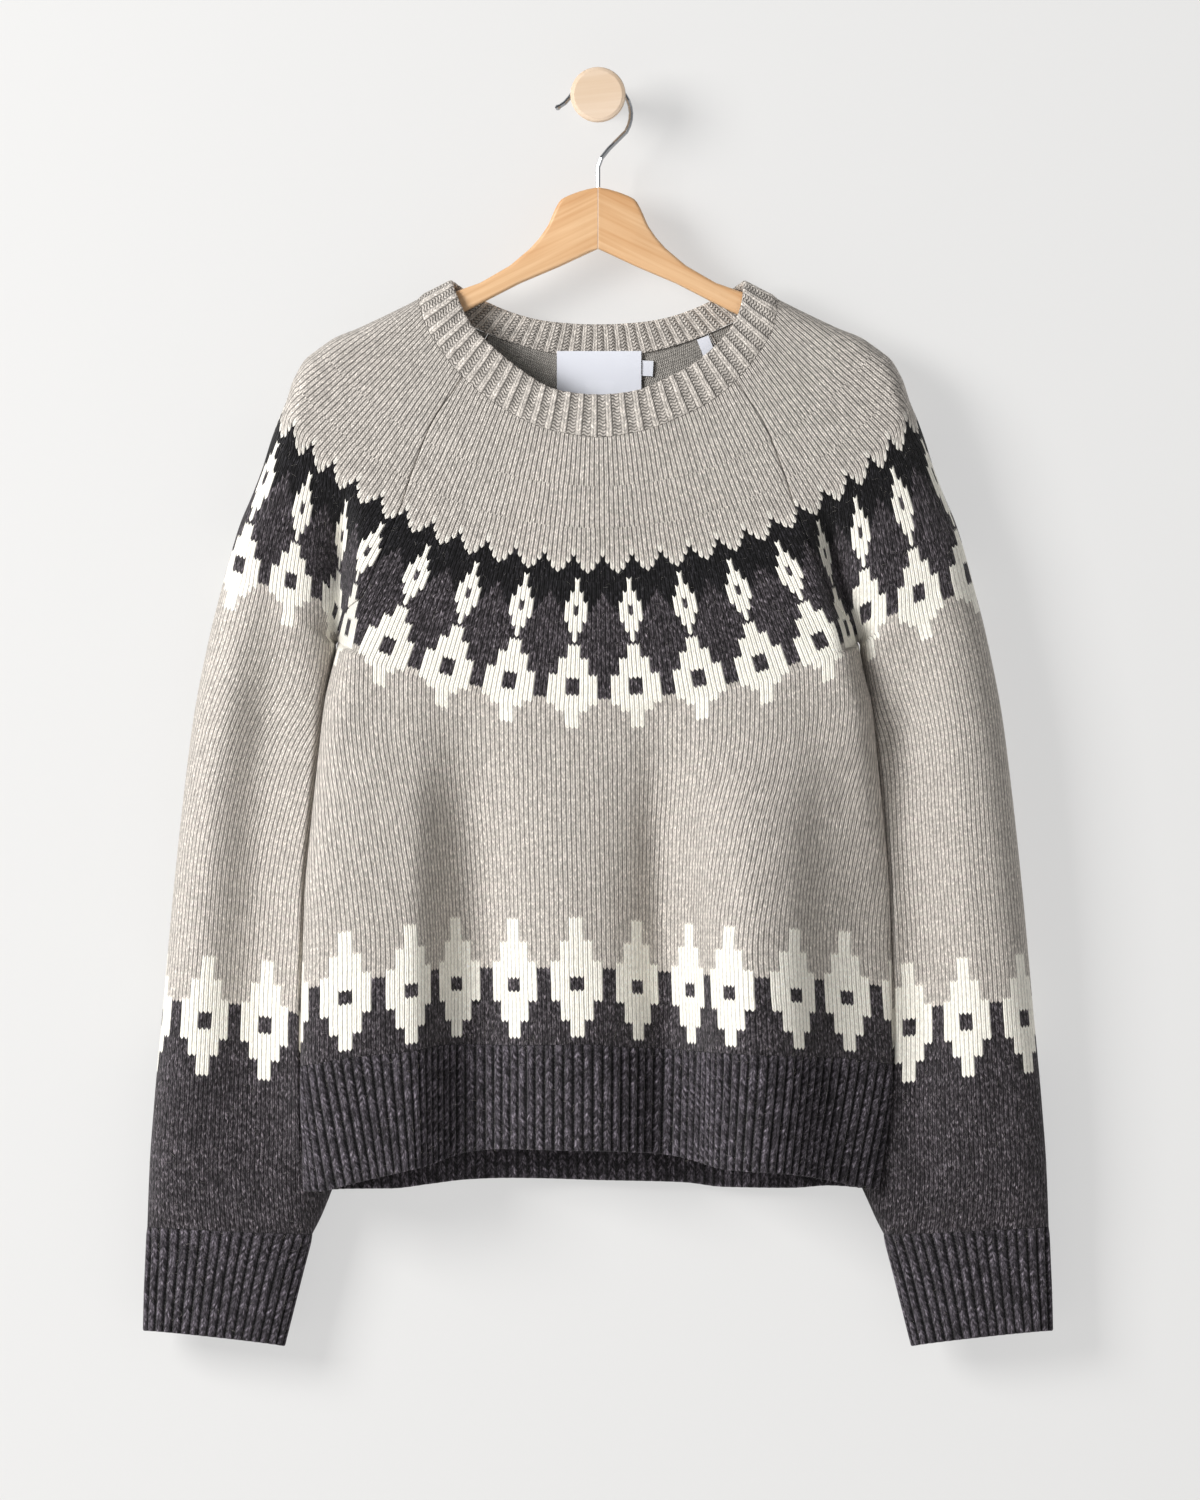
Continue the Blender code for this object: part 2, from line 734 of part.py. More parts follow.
def sleeve(side, columns):
    """Grid of a raglan sleeve, a strip over the shoulder that closes into a tube."""
    share = to_edge(columns)
    rings = []
    places = []
    shoulder = 2.0 if side > 0 else 4.0
    front_first = side > 0
    for level in YOKE_LEVELS:
        low = seam_place(side, front_first, level)
        high = seam_place(side, not front_first, level)
        high = high if side > 0 else high + 4.0
        left = shoulder - share[::-1] * (shoulder - low)
        right = shoulder + share[1:] * (high - shoulder)
        rings.append(yoke_rings(level))
        places.append(np.concatenate((left, right)))
    for level in SLEEVE_LEVELS:
        rings.append(sleeve_rings(side, level))
        places.append(np.concatenate((1 - share[::-1], 1 + share[1:])))
    points, outward = grid_of(rings, places)
    return points, outward, places[0], places[-1]


def rib_relief(rows, columns):
    """Relief of a rib: every second column of points stands proud."""
    raised = np.zeros((rows, columns))
    raised[:, 0::2] = RIB_RELIEF
    return raised


def loop_length(ring, start, end):
    """Length of a loop between two places."""
    points = place_on(ring, np.linspace(start, end, 400, endpoint=False))
    return float(np.linalg.norm(np.diff(points, axis=0), axis=1).sum())


def hem_rib(front, seam):
    """Grid and relief of the hem's rib across the front or back, below the panel's seam."""
    start, end = (0.0, 2.0) if front else (2.0, 4.0)
    ribs = round(loop_length(body_ring(1.0, 0.5), start, end) / HEM_RIB_PITCH)
    places = np.linspace(start, end, 2 * ribs + 1)
    rings = [body_rings(level) for level in (1.0, 2.0)]
    points, outward = grid_of(rings, [places] * len(rings))
    along_chords((points, outward), rings[0], [seam], places)
    return points, outward, rib_relief(len(rings), len(places))


def cuff(side, seam):
    """Grid and relief of a cuff, below the sleeve's seam."""
    ribs = round(loop_length(cuff_ring(side, 0.5), 0.0, 2.0) / CUFF_RIB_PITCH)
    places = np.linspace(0, 2, 2 * ribs, endpoint=False)
    rings = [sleeve_rings(side, level) for level in (1.0, 2.0)]
    points, outward = grid_of(rings, [places] * len(rings))
    along_chords((points, outward), rings[0], [seam], places)
    return points, outward, rib_relief(len(rings), len(places))


def neckband(seams):
    """Grid and relief of the neckband, from the neck seam up to its free edge."""
    ribs = round(loop_length(yoke_ring(-0.5), 0.0, 4.0) / NECK_RIB_PITCH)
    places = np.linspace(0, 4, 2 * ribs, endpoint=False)
    rings = [yoke_rings(level) for level in (0.0, -0.5, -1.0)]
    points, outward = grid_of(rings, [places] * len(rings))
    along_chords((points, outward), rings[0], seams, places)
    return points[::-1], outward[::-1], rib_relief(len(rings), len(places))


def label(name, row, finish, collection):
    """A bare woven label that lies on the inside of the back, a little off its points."""
    width, height = LABELS["width"][row], LABELS["height"][row]
    tilt = math.radians(LABELS["tilt"][row])
    across = np.linspace(-width / 2, width / 2, 7 if width > 20 else 3)
    down = np.linspace(height / 2, -height / 2, 4 if width > 20 else 3)
    inside = []
    for level in np.linspace(-1.0, 0.4, 60):
        points, outward = grid_of([yoke_rings(level)], [np.linspace(2, 4, 240)])
        inside.append(points[0] - outward[0] * WALL)
    inside = np.vstack(inside)
    mesh = bmesh.new()
    sheets = []
    for offset in (0.0, LABEL_THICKNESS):
        sheet = []
        for z in down:
            line = []
            for x in across:
                px = LABELS["x"][row] + x * math.cos(tilt) - z * math.sin(tilt)
                pz = LABELS["z"][row] + x * math.sin(tilt) + z * math.cos(tilt)
                closest = np.argsort(np.hypot(inside[:, 0] - px, inside[:, 2] - pz))[:6]
                py = inside[closest, 1].min() - LABELS["proud"][row] - offset
                line.append(mesh.verts.new((px * MM, py * MM, pz * MM)))
            sheet.append(line)
        sheets.append(sheet)
    back, front = sheets
    for i in range(len(down) - 1):
        for j in range(len(across) - 1):
            mesh.faces.new((front[i][j], front[i + 1][j], front[i + 1][j + 1], front[i][j + 1]))
            mesh.faces.new((back[i][j], back[i][j + 1], back[i + 1][j + 1], back[i + 1][j]))
    rim = [(0, j) for j in range(len(across))]
    rim += [(i, len(across) - 1) for i in range(1, len(down))]
    rim += [(len(down) - 1, j) for j in range(len(across) - 2, -1, -1)]
    rim += [(i, 0) for i in range(len(down) - 2, 0, -1)]
    for (a, b), (c, d) in zip(rim, rim[1:] + rim[:1]):
        mesh.faces.new((front[a][b], front[c][d], back[c][d], back[a][b]))
    bmesh.ops.recalc_face_normals(mesh, faces=mesh.faces)
    data = bpy.data.meshes.new(name)
    mesh.to_mesh(data)
    mesh.free()
    return add_object(name, data, finish, collection)


def hanger_half(name, side, finish, collection):
    """One half of the hanger: a flat shaped board whose arm carries the shoulder."""
    arm_x = np.array((118.0, 137.0, 155.0, 170.0, 178.0))
    ridge_z = np.interp(arm_x, SHOULDER["x"], SHOULDER["z"])
    slope = np.gradient(ridge_z, arm_x)
    seat = HANGER_SEAT_GAP * smooth(250, 118, arm_x) + HANGER_END_GAP * smooth(130, 178, arm_x)
    arm_z = ridge_z - (WALL + seat) * np.sqrt(1 + slope**2)
    top = list(zip(HANGER_TOP["x"], HANGER_TOP["z"])) + list(zip(arm_x, arm_z))
    end_z = arm_z[-1] - HANGER_ARM_DEPTH / 2
    end = [
        (HANGER_ARM_END - 1.5, arm_z[-1] - 5.5),
        (HANGER_ARM_END, end_z - 1.5),
        (HANGER_ARM_END - 2.5, end_z - 6.5),
    ]
    under = [(x, z - HANGER_ARM_DEPTH * 1.08) for x, z in zip(arm_x[::-1], arm_z[::-1])]
    bottom = list(zip(HANGER_BOTTOM["x"], HANGER_BOTTOM["z"]))
    outline = top + end + under + bottom
    data = bpy.data.curves.new(name, "CURVE")
    data.dimensions = "2D"
    data.fill_mode = "BOTH"
    data.extrude = (HANGER_THICKNESS / 2 - HANGER_EDGE) * MM
    data.bevel_depth = HANGER_EDGE * MM
    data.bevel_resolution = 1
    data.offset = -HANGER_EDGE * MM
    spline = data.splines.new("POLY")
    spline.points.add(len(outline) - 1)
    for point, (x, z) in zip(spline.points, outline):
        point.co = (side * x * MM, z * MM, 0, 1)
    spline.use_cyclic_u = True
    made = add_object(name, data, finish, collection)
    made.rotation_euler = (math.radians(90), 0, 0)
    made.location = (0, HANGER_Y * MM, 0)
    return made


def hook_points():
    """Middle line of the hook's wire, from the hanger up round the peg to its tip."""
    points = [(0.0, HOOK_FOOT_Z), (0.0, -52.0), (0.0, -46.5), (2.2, -40.5), (7.0, -34.5)]
    start, end = math.radians(-32), math.radians(150)
    for f in np.linspace(0, 1, 17):
        turn = start + (end - start) * f
        x = HOOK_RADIUS * math.cos(turn)
        points.append((x, HOOK_CENTRE_Z + HOOK_RADIUS * math.sin(turn)))
    points += [(-21.6, -4.6), (-24.6, -6.6), (-26.3, -7.6), (-27.6, -8.3)]
    return points


def hook(finish, collection):
    """The hanger's wire hook, thicker at its rounded tip."""
    data = bpy.data.curves.new("hanger_hook", "CURVE")
    data.dimensions = "3D"
    data.bevel_depth = WIRE_RADIUS * MM
    data.bevel_resolution = 2
    data.use_fill_caps = True
    points = hook_points()
    spline = data.splines.new("POLY")
    spline.points.add(len(points) - 1)
    for point, (x, z) in zip(spline.points, points):
        point.co = (x * MM, HANGER_Y * MM, z * MM, 1)
    spline.points[-3].radius = 0.95
    spline.points[-2].radius = 1.35
    spline.points[-1].radius = 0.8
    return add_object("hanger_hook", data, finish, collection)


def peg(finish, collection):
    """The round wall peg, turned about the Y axis from its disc to its flat back."""
    disc, neck, base = PEG_DISC_RADIUS, PEG_NECK_RADIUS, PEG_BASE_RADIUS
    profile = [
        (0.0, PEG_LENGTH),
        (disc - 2.5, PEG_LENGTH),
        (disc - 0.7, PEG_LENGTH - 0.8),
        (disc, PEG_LENGTH - 2.5),
        (disc, PEG_LENGTH - 6.5),
        (disc - 1.5, PEG_LENGTH - 9.0),
        (disc - 5.0, PEG_LENGTH - 11.0),
        (neck + 1.2, PEG_LENGTH - 13.0),
        (neck, PEG_LENGTH - 15.0),
        (neck, 10.0),
        (neck + 1.5, 7.0),
        (base - 1.0, 5.0),
        (base, 4.0),
        (base, 0.0),
        (0.0, 0.0),
    ]
    mesh = bmesh.new()
    points = [mesh.verts.new((r * MM, 0, z * MM)) for r, z in profile]
    for a, b in zip(points, points[1:]):
        mesh.edges.new((a, b))
    data = bpy.data.meshes.new("wall_peg")
    mesh.to_mesh(data)
    mesh.free()
    made = add_object("wall_peg", data, finish, collection)
    screw = made.modifiers.new("Turned", "SCREW")
    screw.angle = math.radians(360)
    screw.steps = 32
    screw.render_steps = 32
    screw.use_merge_vertices = True
    screw.merge_threshold = 0.00001
    made.rotation_euler = (math.radians(90), 0, 0)
    return made


def main():
    """Remove what the scene holds and build every piece."""
    for old in list(bpy.data.objects):
        bpy.data.objects.remove(old, do_unlink=True)
    collection = bpy.data.collections.new(COLLECTION)
    bpy.context.scene.collection.children.link(collection)
    grey = material("pale_grey_melange_wool", 0.40, 0.38, 0.35, 0.95)
    charcoal = material("charcoal_melange_wool", 0.065, 0.065, 0.07, 0.95)
    wood = material("oiled_beech", 0.78, 0.50, 0.26, 0.5)
    pale_wood = material("waxed_birch", 0.83, 0.66, 0.47, 0.6)
    chrome = material("chromed_steel", 0.75, 0.76, 0.77, 0.15, 1.0)
    satin = material("white_woven_satin", 0.86, 0.87, 0.90, 0.55)

    neck_seams = []
    hem_seams = {}
    for name, front, columns in (("front_panel", True, 14), ("back_panel", False, 11)):
        points, outward, top, bottom = panel(front, columns)
        neck_seams.append(top)
        hem_seams[front] = bottom
        open_seams(points, outward)
        open_seams(points, outward, rows=True)
        cloth(name, points, outward, grey, collection)
    cuff_seams = {}
    for name, side in (("sleeve_left", -1), ("sleeve_right", 1)):
        points, outward, top, bottom = sleeve(side, 11)
        neck_seams.append(top)
        cuff_seams[side] = bottom
        open_seams(points, outward)
        open_seams(points, outward, rows=True)
        cloth(name, points, outward, grey, collection)
    for name, front in (("hem_rib_front", True), ("hem_rib_back", False)):
        points, outward, raised = hem_rib(front, hem_seams[front])
        open_seams(points, outward)
        open_seams(points, outward, rows=True)
        cloth(name, points, outward, charcoal, collection, raised)
    for name, side in (("cuff_left", -1), ("cuff_right", 1)):
        points, outward, raised = cuff(side, cuff_seams[side])
        open_seams(points, outward, rows=True)
        cloth(name, points, outward, charcoal, collection, raised, closed=True)
    points, outward, raised = neckband(neck_seams)
    open_seams(points, outward, rows=True)
    cloth("neckband", points, outward, grey, collection, raised, closed=True)
    for row, name in enumerate(LABEL_NAMES):
        label(name, row, satin, collection)
    hanger_half("hanger_left", -1, wood, collection)
    hanger_half("hanger_right", 1, wood, collection)
    hook(chrome, collection)
    peg(pale_wood, collection)


main()
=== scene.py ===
"""Looks of a nordic sweater that hangs on a wooden hanger from a round wall peg.

The knit is worked out ring by ring. The yoke's rings lie round one centre point above the neck,
and below the underarm they part into a body tube and two sleeve tubes. Sizes are in millimetres
until a mesh is made. The front faces -Y, +X is to the right and the wall is the plane y = 0.
"""

from __future__ import annotations

import json
import logging
import math
from collections.abc import Callable, Sequence
from dataclasses import dataclass, field
from enum import Enum

import bmesh
import bpy
import numpy as np
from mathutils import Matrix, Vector

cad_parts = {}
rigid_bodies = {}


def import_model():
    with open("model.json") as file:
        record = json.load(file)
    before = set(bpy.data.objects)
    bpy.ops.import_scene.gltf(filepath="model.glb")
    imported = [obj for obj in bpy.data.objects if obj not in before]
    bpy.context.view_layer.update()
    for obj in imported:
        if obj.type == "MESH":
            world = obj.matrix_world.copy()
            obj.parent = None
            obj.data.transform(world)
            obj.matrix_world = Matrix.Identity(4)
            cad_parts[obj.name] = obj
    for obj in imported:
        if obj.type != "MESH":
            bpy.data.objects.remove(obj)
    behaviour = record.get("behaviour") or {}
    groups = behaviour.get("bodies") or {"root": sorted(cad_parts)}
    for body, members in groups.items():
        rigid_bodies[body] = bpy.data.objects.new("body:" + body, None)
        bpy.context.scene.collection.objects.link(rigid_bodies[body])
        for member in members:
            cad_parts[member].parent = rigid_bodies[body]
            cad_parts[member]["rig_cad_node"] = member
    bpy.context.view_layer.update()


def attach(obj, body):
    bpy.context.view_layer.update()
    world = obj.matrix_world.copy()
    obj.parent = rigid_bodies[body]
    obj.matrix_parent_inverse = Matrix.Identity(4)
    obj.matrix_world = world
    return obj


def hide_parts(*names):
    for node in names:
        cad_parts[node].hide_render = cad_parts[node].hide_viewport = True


log = logging.getLogger("sweater")

MM = 0.001
CENTRE_Z = -28.0  # height of the point that the yoke's rings lie round
UNDERARM_X = 170.0  # half the body's width at the underarm
YOKE_END = 0.988  # level of the yoke's last ring, just above the underarm's
SEAM_FADE = 8  # how fast a raglan groove ends below the underarm
REPEAT = 0.1152  # one pattern repeat round the yoke, in radians
REPEAT_MM = 42.74  # one pattern repeat round the body or a sleeve
HALF_ROUND = 14.5  # repeats from the front's centre line to the back's
PATTERN_SHIFT = 0.1  # how far the front's middle figure is off the centre line, in repeats
ROW_MM = 2.15  # one knitted row
STITCH_RAMP_MM = 1000.0  # how far down the chart the ramp of stitch counts reaches
STITCH_RAMP_TOP = 16.0  # the count of stitches that the ramp's full value stands for

Rows = dict[str, np.ndarray]
Ring = tuple[np.ndarray, np.ndarray]
Tree = bpy.types.NodeTree
Socket = bpy.types.NodeSocket


class Side(Enum):
    """A side of the sweater, as it hangs."""

    LEFT = -1
    RIGHT = 1


class Half(Enum):
    """The front or the back."""

    FRONT = "front"
    BACK = "back"


class Knit(Enum):
    """How a knitted face is worked."""

    CHART = "charted stocking stitch"
    RIB = "rib"
    PURL = "purl side"


def table(columns: str, *rows: Sequence[float]) -> Rows:
    """Give rows of numbers as one array for each named column.

    Args:
        columns: the columns' names, parted by spaces.
        rows: the numbers of each row.

    Returns:
        Arrays by column name.
    """
    return dict(zip(columns.split(), np.array(rows, dtype=float).T))


def curve(xs: np.ndarray, ys: np.ndarray, at: np.ndarray | float) -> np.ndarray:
    """Read a smooth curve through a table's points, which never overshoots them.

    Args:
        xs: rising places.
        ys: values at those places.
        at: where to read.

    Returns:
        The values there.
    """
    step = np.diff(xs)
    slope = np.diff(ys) / step
    product = slope[1:] * slope[:-1]
    total = slope[1:] + slope[:-1]
    tangent = np.zeros(len(xs))
    tangent[0] = slope[0]
    tangent[-1] = slope[-1]
    tangent[1:-1] = np.where(product > 0, 2 * product / np.where(total == 0, 1, total), 0)
    at = np.clip(at, xs[0], xs[-1])
    i = np.clip(np.searchsorted(xs, at, side="right") - 1, 0, len(xs) - 2)
    f = (at - xs[i]) / step[i]
    start = (1 + 2 * f) * (1 - f) ** 2 * ys[i] + f * (1 - f) ** 2 * step[i] * tangent[i]
    end = f * f * (3 - 2 * f) * ys[i + 1] - f * f * (1 - f) * step[i] * tangent[i + 1]
    return start + end


def smooth(low: float, high: float, value: np.ndarray | float) -> np.ndarray:
    """Rise from 0 at low to 1 at high, level at both ends."""
    f = np.clip((value - low) / (high - low), 0, 1)
    return f * f * (3 - 2 * f)


def rounded(distance: np.ndarray, reach: float) -> np.ndarray:
    """Rise from 0 at an edge to 1 at its reach, upright at the edge like a quarter circle."""
    f = np.clip(distance / reach, 0, 1)
    return np.sqrt(1 - (1 - f) ** 2)


def eased(distance: np.ndarray, reach: float) -> np.ndarray:
    """Rise from 0 at a fold's bottom to 1 at its reach, steep but not upright there."""
    f = np.clip(distance / reach, 0, 1)
    return 1 - (1 - f) ** 2


def running_length(points: np.ndarray) -> np.ndarray:
    """Length along a line of points, from 0 at the first."""
    return np.concatenate(((0.0,), np.cumsum(np.linalg.norm(np.diff(points, axis=0), axis=1))))


def length_down(points: np.ndarray) -> np.ndarray:
    """Length down each column of a grid of points, from 0 at its first row."""
    steps = np.linalg.norm(np.diff(points, axis=0), axis=2)
    return np.concatenate((np.zeros((1, points.shape[1])), np.cumsum(steps, axis=0)))


def place_on(ring: Ring, place: np.ndarray) -> np.ndarray:
    """Read points of a loop.

    Args:
        ring: the loop.
        place: where to read, which may run on past the loop's end.

    Returns:
        One point for each place.
    """
    places, points = ring
    at = np.asarray(place) % places[-1]
    return np.column_stack([np.interp(at, places, points[:, i]) for i in range(3)])


SHOULDER = table(
    "x z",
    (96, -120),
    (119, -133),
    (137, -142),
    (155, -150.5),
    (175, -159.5),
    (188, -169),
    (197.5, -183),
    (203, -199),
    (208, -211),
    (212, -222),
    (219, -244),
    (226, -262),
    (232, -276),
    (240, -302),
    (248, -333),
)
NECK = table(
    "share front back front_top back_top",
    (0.00, 195.0, 141.0, 167.0, 120.0),
    (0.20, 192.5, 141.5, 166.0, 121.0),
    (0.40, 186.5, 142.5, 158.5, 123.5),
    (0.60, 179.0, 145.0, 151.0, 126.0),
    (0.75, 172.0, 148.0, 146.0, 128.0),
    (0.87, 166.0, 151.5, 139.0, 130.0),
    (1.00, 157.0, 157.0, 132.0, 132.0),
)
DEPTH = table(
    "height front back",
    (120, -40.5, -20.0),
    (150, -43.0, -19.0),
    (175, -48.0, -16.0),
    (200, -53.0, -14.0),
    (230, -58.0, -13.0),
    (280, -62.0, -11.5),
    (340, -66.0, -10.5),
)
RIDGE = table(
    "radius y reach",
    (132, -30, 10.5),
    (235, -30, 10.5),
    (260, -31, 15.0),
    (300, -32, 19.0),
    (371, -32, 22.0),
)
ARMPIT = table(
    "radius left right front_depth back_depth",
    (270, 164, 143, 0, 0),
    (285, 164, 146, 6, 0),
    (297, 165, 149, 15, 0),
    (310, 166, 152, 22, 1),
    (340, 168, 160, 25, 3),
    (355, 169, 166, 28, 6),
    (371, 170, 170, 37, 17),
)
RAGLAN = table(
    "radius angle",
    (150, 29.6),
    (180, 29.6),
    (210, 30.2),
    (243, 29.2),
    (274, 28.0),
    (301, 27.5),
    (337, 27.0),
    (371, 26.5),
)
SIDES = {
    Side.LEFT: table(
        "drop front_x front_y back_x back_y",
        (0, 170, -27, 170, -27),
        (16, 173.5, -38, 169, -25),
        (37, 178, -46, 168.5, -22),
        (72, 182, -51, 170, -20),
        (118, 187, -53, 171, -19),
        (163, 191, -54, 171, -18),
        (264, 193.5, -54, 169, -18),
        (352, 191, -52, 168, -18),
    ),
    Side.RIGHT: table(
        "drop front_x front_y back_x back_y",
        (0, 170, -27, 170, -27),
        (16, 173, -32, 169, -24),
        (37, 178, -35, 168.5, -21),
        (72, 182, -37, 170, -18),
        (118, 187, -38, 171, -17),
        (163, 191, -38, 171, -16),
        (264, 193, -38, 169, -16),
        (352, 183.5, -38, 165, -16),
    ),
}
SLIT = table("drop width", (0, 0.4), (16, 1.0), (72, 2.4), (500, 2.4))
FOLDS = {
    Half.FRONT: table(
        "top hem forward",
        (-176, -200, 2),
        (-150, -152, 10),
        (-122, -122, 8),
        (-88, -84, -25),
        (-50, -40, -4),
        (-26, -19, 0),
        (0, 2, -3),
        (20, 22, -12),
        (36, 43, -25),
        (54, 62, -11),
        (70, 79, 14),
        (92, 102, 26),
        (118, 124, 19),
        (145, 152, -4),
        (176, 200, -24),
    ),
    Half.BACK: table(
        "top hem forward",
        (-176, -200, 8),
        (-150, -170, 7),
        (-125, -140, 3),
        (-92, -96, 0),
        (-60, -58, 4.5),
        (-22, -20, 0),
        (22, 26, 5),
        (64, 70, 0),
        (98, 110, 4),
        (128, 145, 1),
        (150, 170, 6),
        (176, 200, 6),
    ),
}
FOLD_FADE = table("level share", (0, 0.10), (0.12, 0.22), (0.4, 0.72), (0.75, 1.0), (1, 1.0))
RIB_SEAM = table(
    "x z",
    (-193, -631),
    (-162, -625),
    (-123, -621),
    (-94, -617),
    (-59, -617.5),
    (-7, -616.5),
    (11, -618),
    (62, -621),
    (88, -622),
    (127, -623.5),
    (165, -626),
    (193, -630.5),
)
HEM = table(
    "x front back",
    (-193, -713, -713),
    (-180, -711, -712.5),
    (-162, -704.5, -712),
    (-136, -699.5, -712),
    (-110, -694.5, -709),
    (-84, -687, -706),
    (-59, -685, -705),
    (0, -686, -706.5),
    (30, -687.5, -707),
    (56, -691, -708),
    (82, -697, -711),
    (127, -699, -711.5),
    (155, -702.5, -709),
    (183, -709, -709.5),
)
SLEEVE = table(
    "level outer_x outer_z inner_z front out_y",
    (0.00, 242, -309, -357.8, -58, -32),
    (0.10, 252.5, -350, -394, -57, -32),
    (0.25, 263, -403, -440, -56, -32),
    (0.40, 270.5, -462, -497, -55, -32),
    (0.55, 277, -524, -556, -54, -32),
    (0.70, 283, -590, -617, -52, -31),
    (0.85, 289, -655, -676, -50, -31),
    (0.95, 292.5, -704, -719, -48, -30),
    (1.00, 293.5, -736, -741, -46, -30),
)
SLEEVE_INNER = table(
    "z x y",
    (-741, 186, -28),
    (-719, 175, -23),
    (-700, 170, -19),
    (-660, 170, -18),
)
SLEEVE_FOLDS = {
    Side.LEFT: table("share forward", (0, 0), (0.21, 3), (0.53, -11), (0.8, -7), (1, -8)),
    Side.RIGHT: table("share forward", (0, 0), (0.31, 4), (0.68, -19), (0.84, -26), (1, -28)),
}
SLEEVE_FADE = table("level share", (0, 0), (0.08, 0.5), (0.22, 1), (0.62, 1), (0.9, 0.35), (1, 0.1))
CUFF = table(
    "level outer_x outer_z inner_x inner_z front back",
    (0.0, 293.5, -736, 186, -741, -46, -10),
    (0.3, 294.5, -757, 192, -764, -43, -13),
    (0.6, 295.5, -781, 198, -788, -42, -14),
    (1.0, 296, -804, 204.5, -814, -42, -14),
)


@dataclass(frozen=True)
class KnitForm:
    """The surface of the hanging knit, as closed loops for each height.

    A loop's places rise by 1 from one centre line or edge to the next. On the yoke and the body
    they are 0 left, 1 front, 2 right and 3 back. On a sleeve 0 is the underarm seam and 1 the
    outer edge.
    """

    centre_z: float = CENTRE_Z
    underarm_radius: float = 371.0
    neck_ridge_radius: float = 157.0
    neck_ridge_angle: float = 48.5
    neck_top_angle: float = 46.2
    neck_slack: float = 3.0
    neck_top_slack: float = 5.0
    crest_round: float = 15.0
    sleeve_round: float = 30.0
    sleeve_set_back: float = 8.0
    side_round: float = 14.0
    front_base: float = -66.0
    back_base: float = -10.0
    rib_seam_z: float = -630.0
    hem_side_z: float = -712.0
    rib_half_width: float = 193.0
    sleeve_top_x: float = 242.0
    sleeve_top_z: float = -309.0
    sleeve_bend: float = 0.3
    fold_share: float = 1.12
    armpit_depth: float = 37.0
    samples: int = 600
    loop_points: int = 2200
    softness: float = 2.2
    seam_gap: float = 0.3

    def shares(self) -> np.ndarray:
        """Shares from a centre line out to an edge, closer together towards the edge."""
        return np.sin(np.linspace(0, math.pi / 2, self.samples))

    def shoulder_angle(self, radius: np.ndarray | float) -> np.ndarray:
        """Angle of the shoulder's outline at a distance from the yoke's centre."""
        radii = np.hypot(SHOULDER["x"], SHOULDER["z"] - self.centre_z)
        angles = np.arctan2(SHOULDER["x"], self.centre_z - SHOULDER["z"])
        return curve(radii, angles, radius)

    def ring_z(self, x: np.ndarray | float) -> np.ndarray:
        """Height of the underarm ring at a place across the body."""
        square = self.underarm_radius**2 - np.square(x)
        return self.centre_z - np.sqrt(np.maximum(square, 0))

    def yoke_quarter(self, side: Side, half: Half, level: float) -> np.ndarray:
        """Points of one yoke ring from its centre line to the shoulder's ridge.

        Args:
            side: left or right.
            half: front or back.
            level: -1 at the neckband's edge, 0 at the neck seam and 1 at the underarm.

        Returns:
            Points from the centre line outwards.
        """
        share = self.shares()
        neck = curve(NECK["share"], NECK[half.value], share)
        # The neck's right front hangs a little lower between the centre and the shoulder.
        slack = 0.0
        if side is Side.RIGHT and half is Half.FRONT:
            slack = smooth(0.25, 0.55, share) * (1 - smooth(0.85, 1.0, share))
        neck = neck + self.neck_slack * slack
        if level < 0:
            top = curve(NECK["share"], NECK[half.value + "_top"], share)
            top = top + self.neck_top_slack * slack
            radius = neck + (top - neck) * -level
            ridge = float(radius[-1])
            turn = self.neck_top_angle - self.neck_ridge_angle
            ridge_angle = math.radians(self.neck_ridge_angle + turn * -level)
        else:
            radius = neck + (self.underarm_radius - neck) * level
            ridge = self.neck_ridge_radius
            ridge += (self.underarm_radius - self.neck_ridge_radius) * level
            ridge_angle = float(self.shoulder_angle(ridge))
        angle = share * ridge_angle
        x = radius * np.sin(angle)
        z = self.centre_z - radius * np.cos(angle)
        y = curve(DEPTH["height"], DEPTH[half.value], -z)
        edge = curve(ARMPIT["radius"], ARMPIT[side.name.lower()], radius)
        deepest = curve(ARMPIT["radius"], ARMPIT[half.value + "_depth"], radius)
        valley = y + (deepest if half is Half.FRONT else -deepest)
        back = deepest / self.armpit_depth if half is Half.FRONT else 0.0
        sleeve_y = y + self.sleeve_set_back * back
        body_wall = valley + (y - valley) * eased(edge - x, self.crest_round)
        sleeve_wall = valley + (sleeve_y - valley) * eased(x - edge, self.sleeve_round)
        y = np.where(x < edge, body_wall, sleeve_wall)
        ridge_y = curve(RIDGE["radius"], RIDGE["y"], ridge)
        reach = float(curve(RIDGE["radius"], RIDGE["reach"], ridge))
        y = ridge_y + (y - ridge_y) * rounded((1 - share) * ridge * ridge_angle, reach)
        return np.column_stack((side.value * x, y, z))

    def side_points(self, side: Side, drop: float, sleeve: bool) -> tuple[np.ndarray, np.ndarray]:
        """Give the corners of the body's side, or of the sleeve's side beside it.

        Args:
            side: left or right.
            drop: how far below the underarm.
            sleeve: whether the sleeve's side is meant.

        Returns:
            The front and the back corner, each as x and y.
        """
        rows = SIDES[side]
        shift = float(curve(SLIT["drop"], SLIT["width"], drop)) if sleeve else -self.seam_gap / 2
        values = {name: float(curve(rows["drop"], rows[name], drop)) for name in rows}
        front = np.array((values["front_x"] + shift, values["front_y"]))
        return front, np.array((values["back_x"] + shift, values["back_y"]))

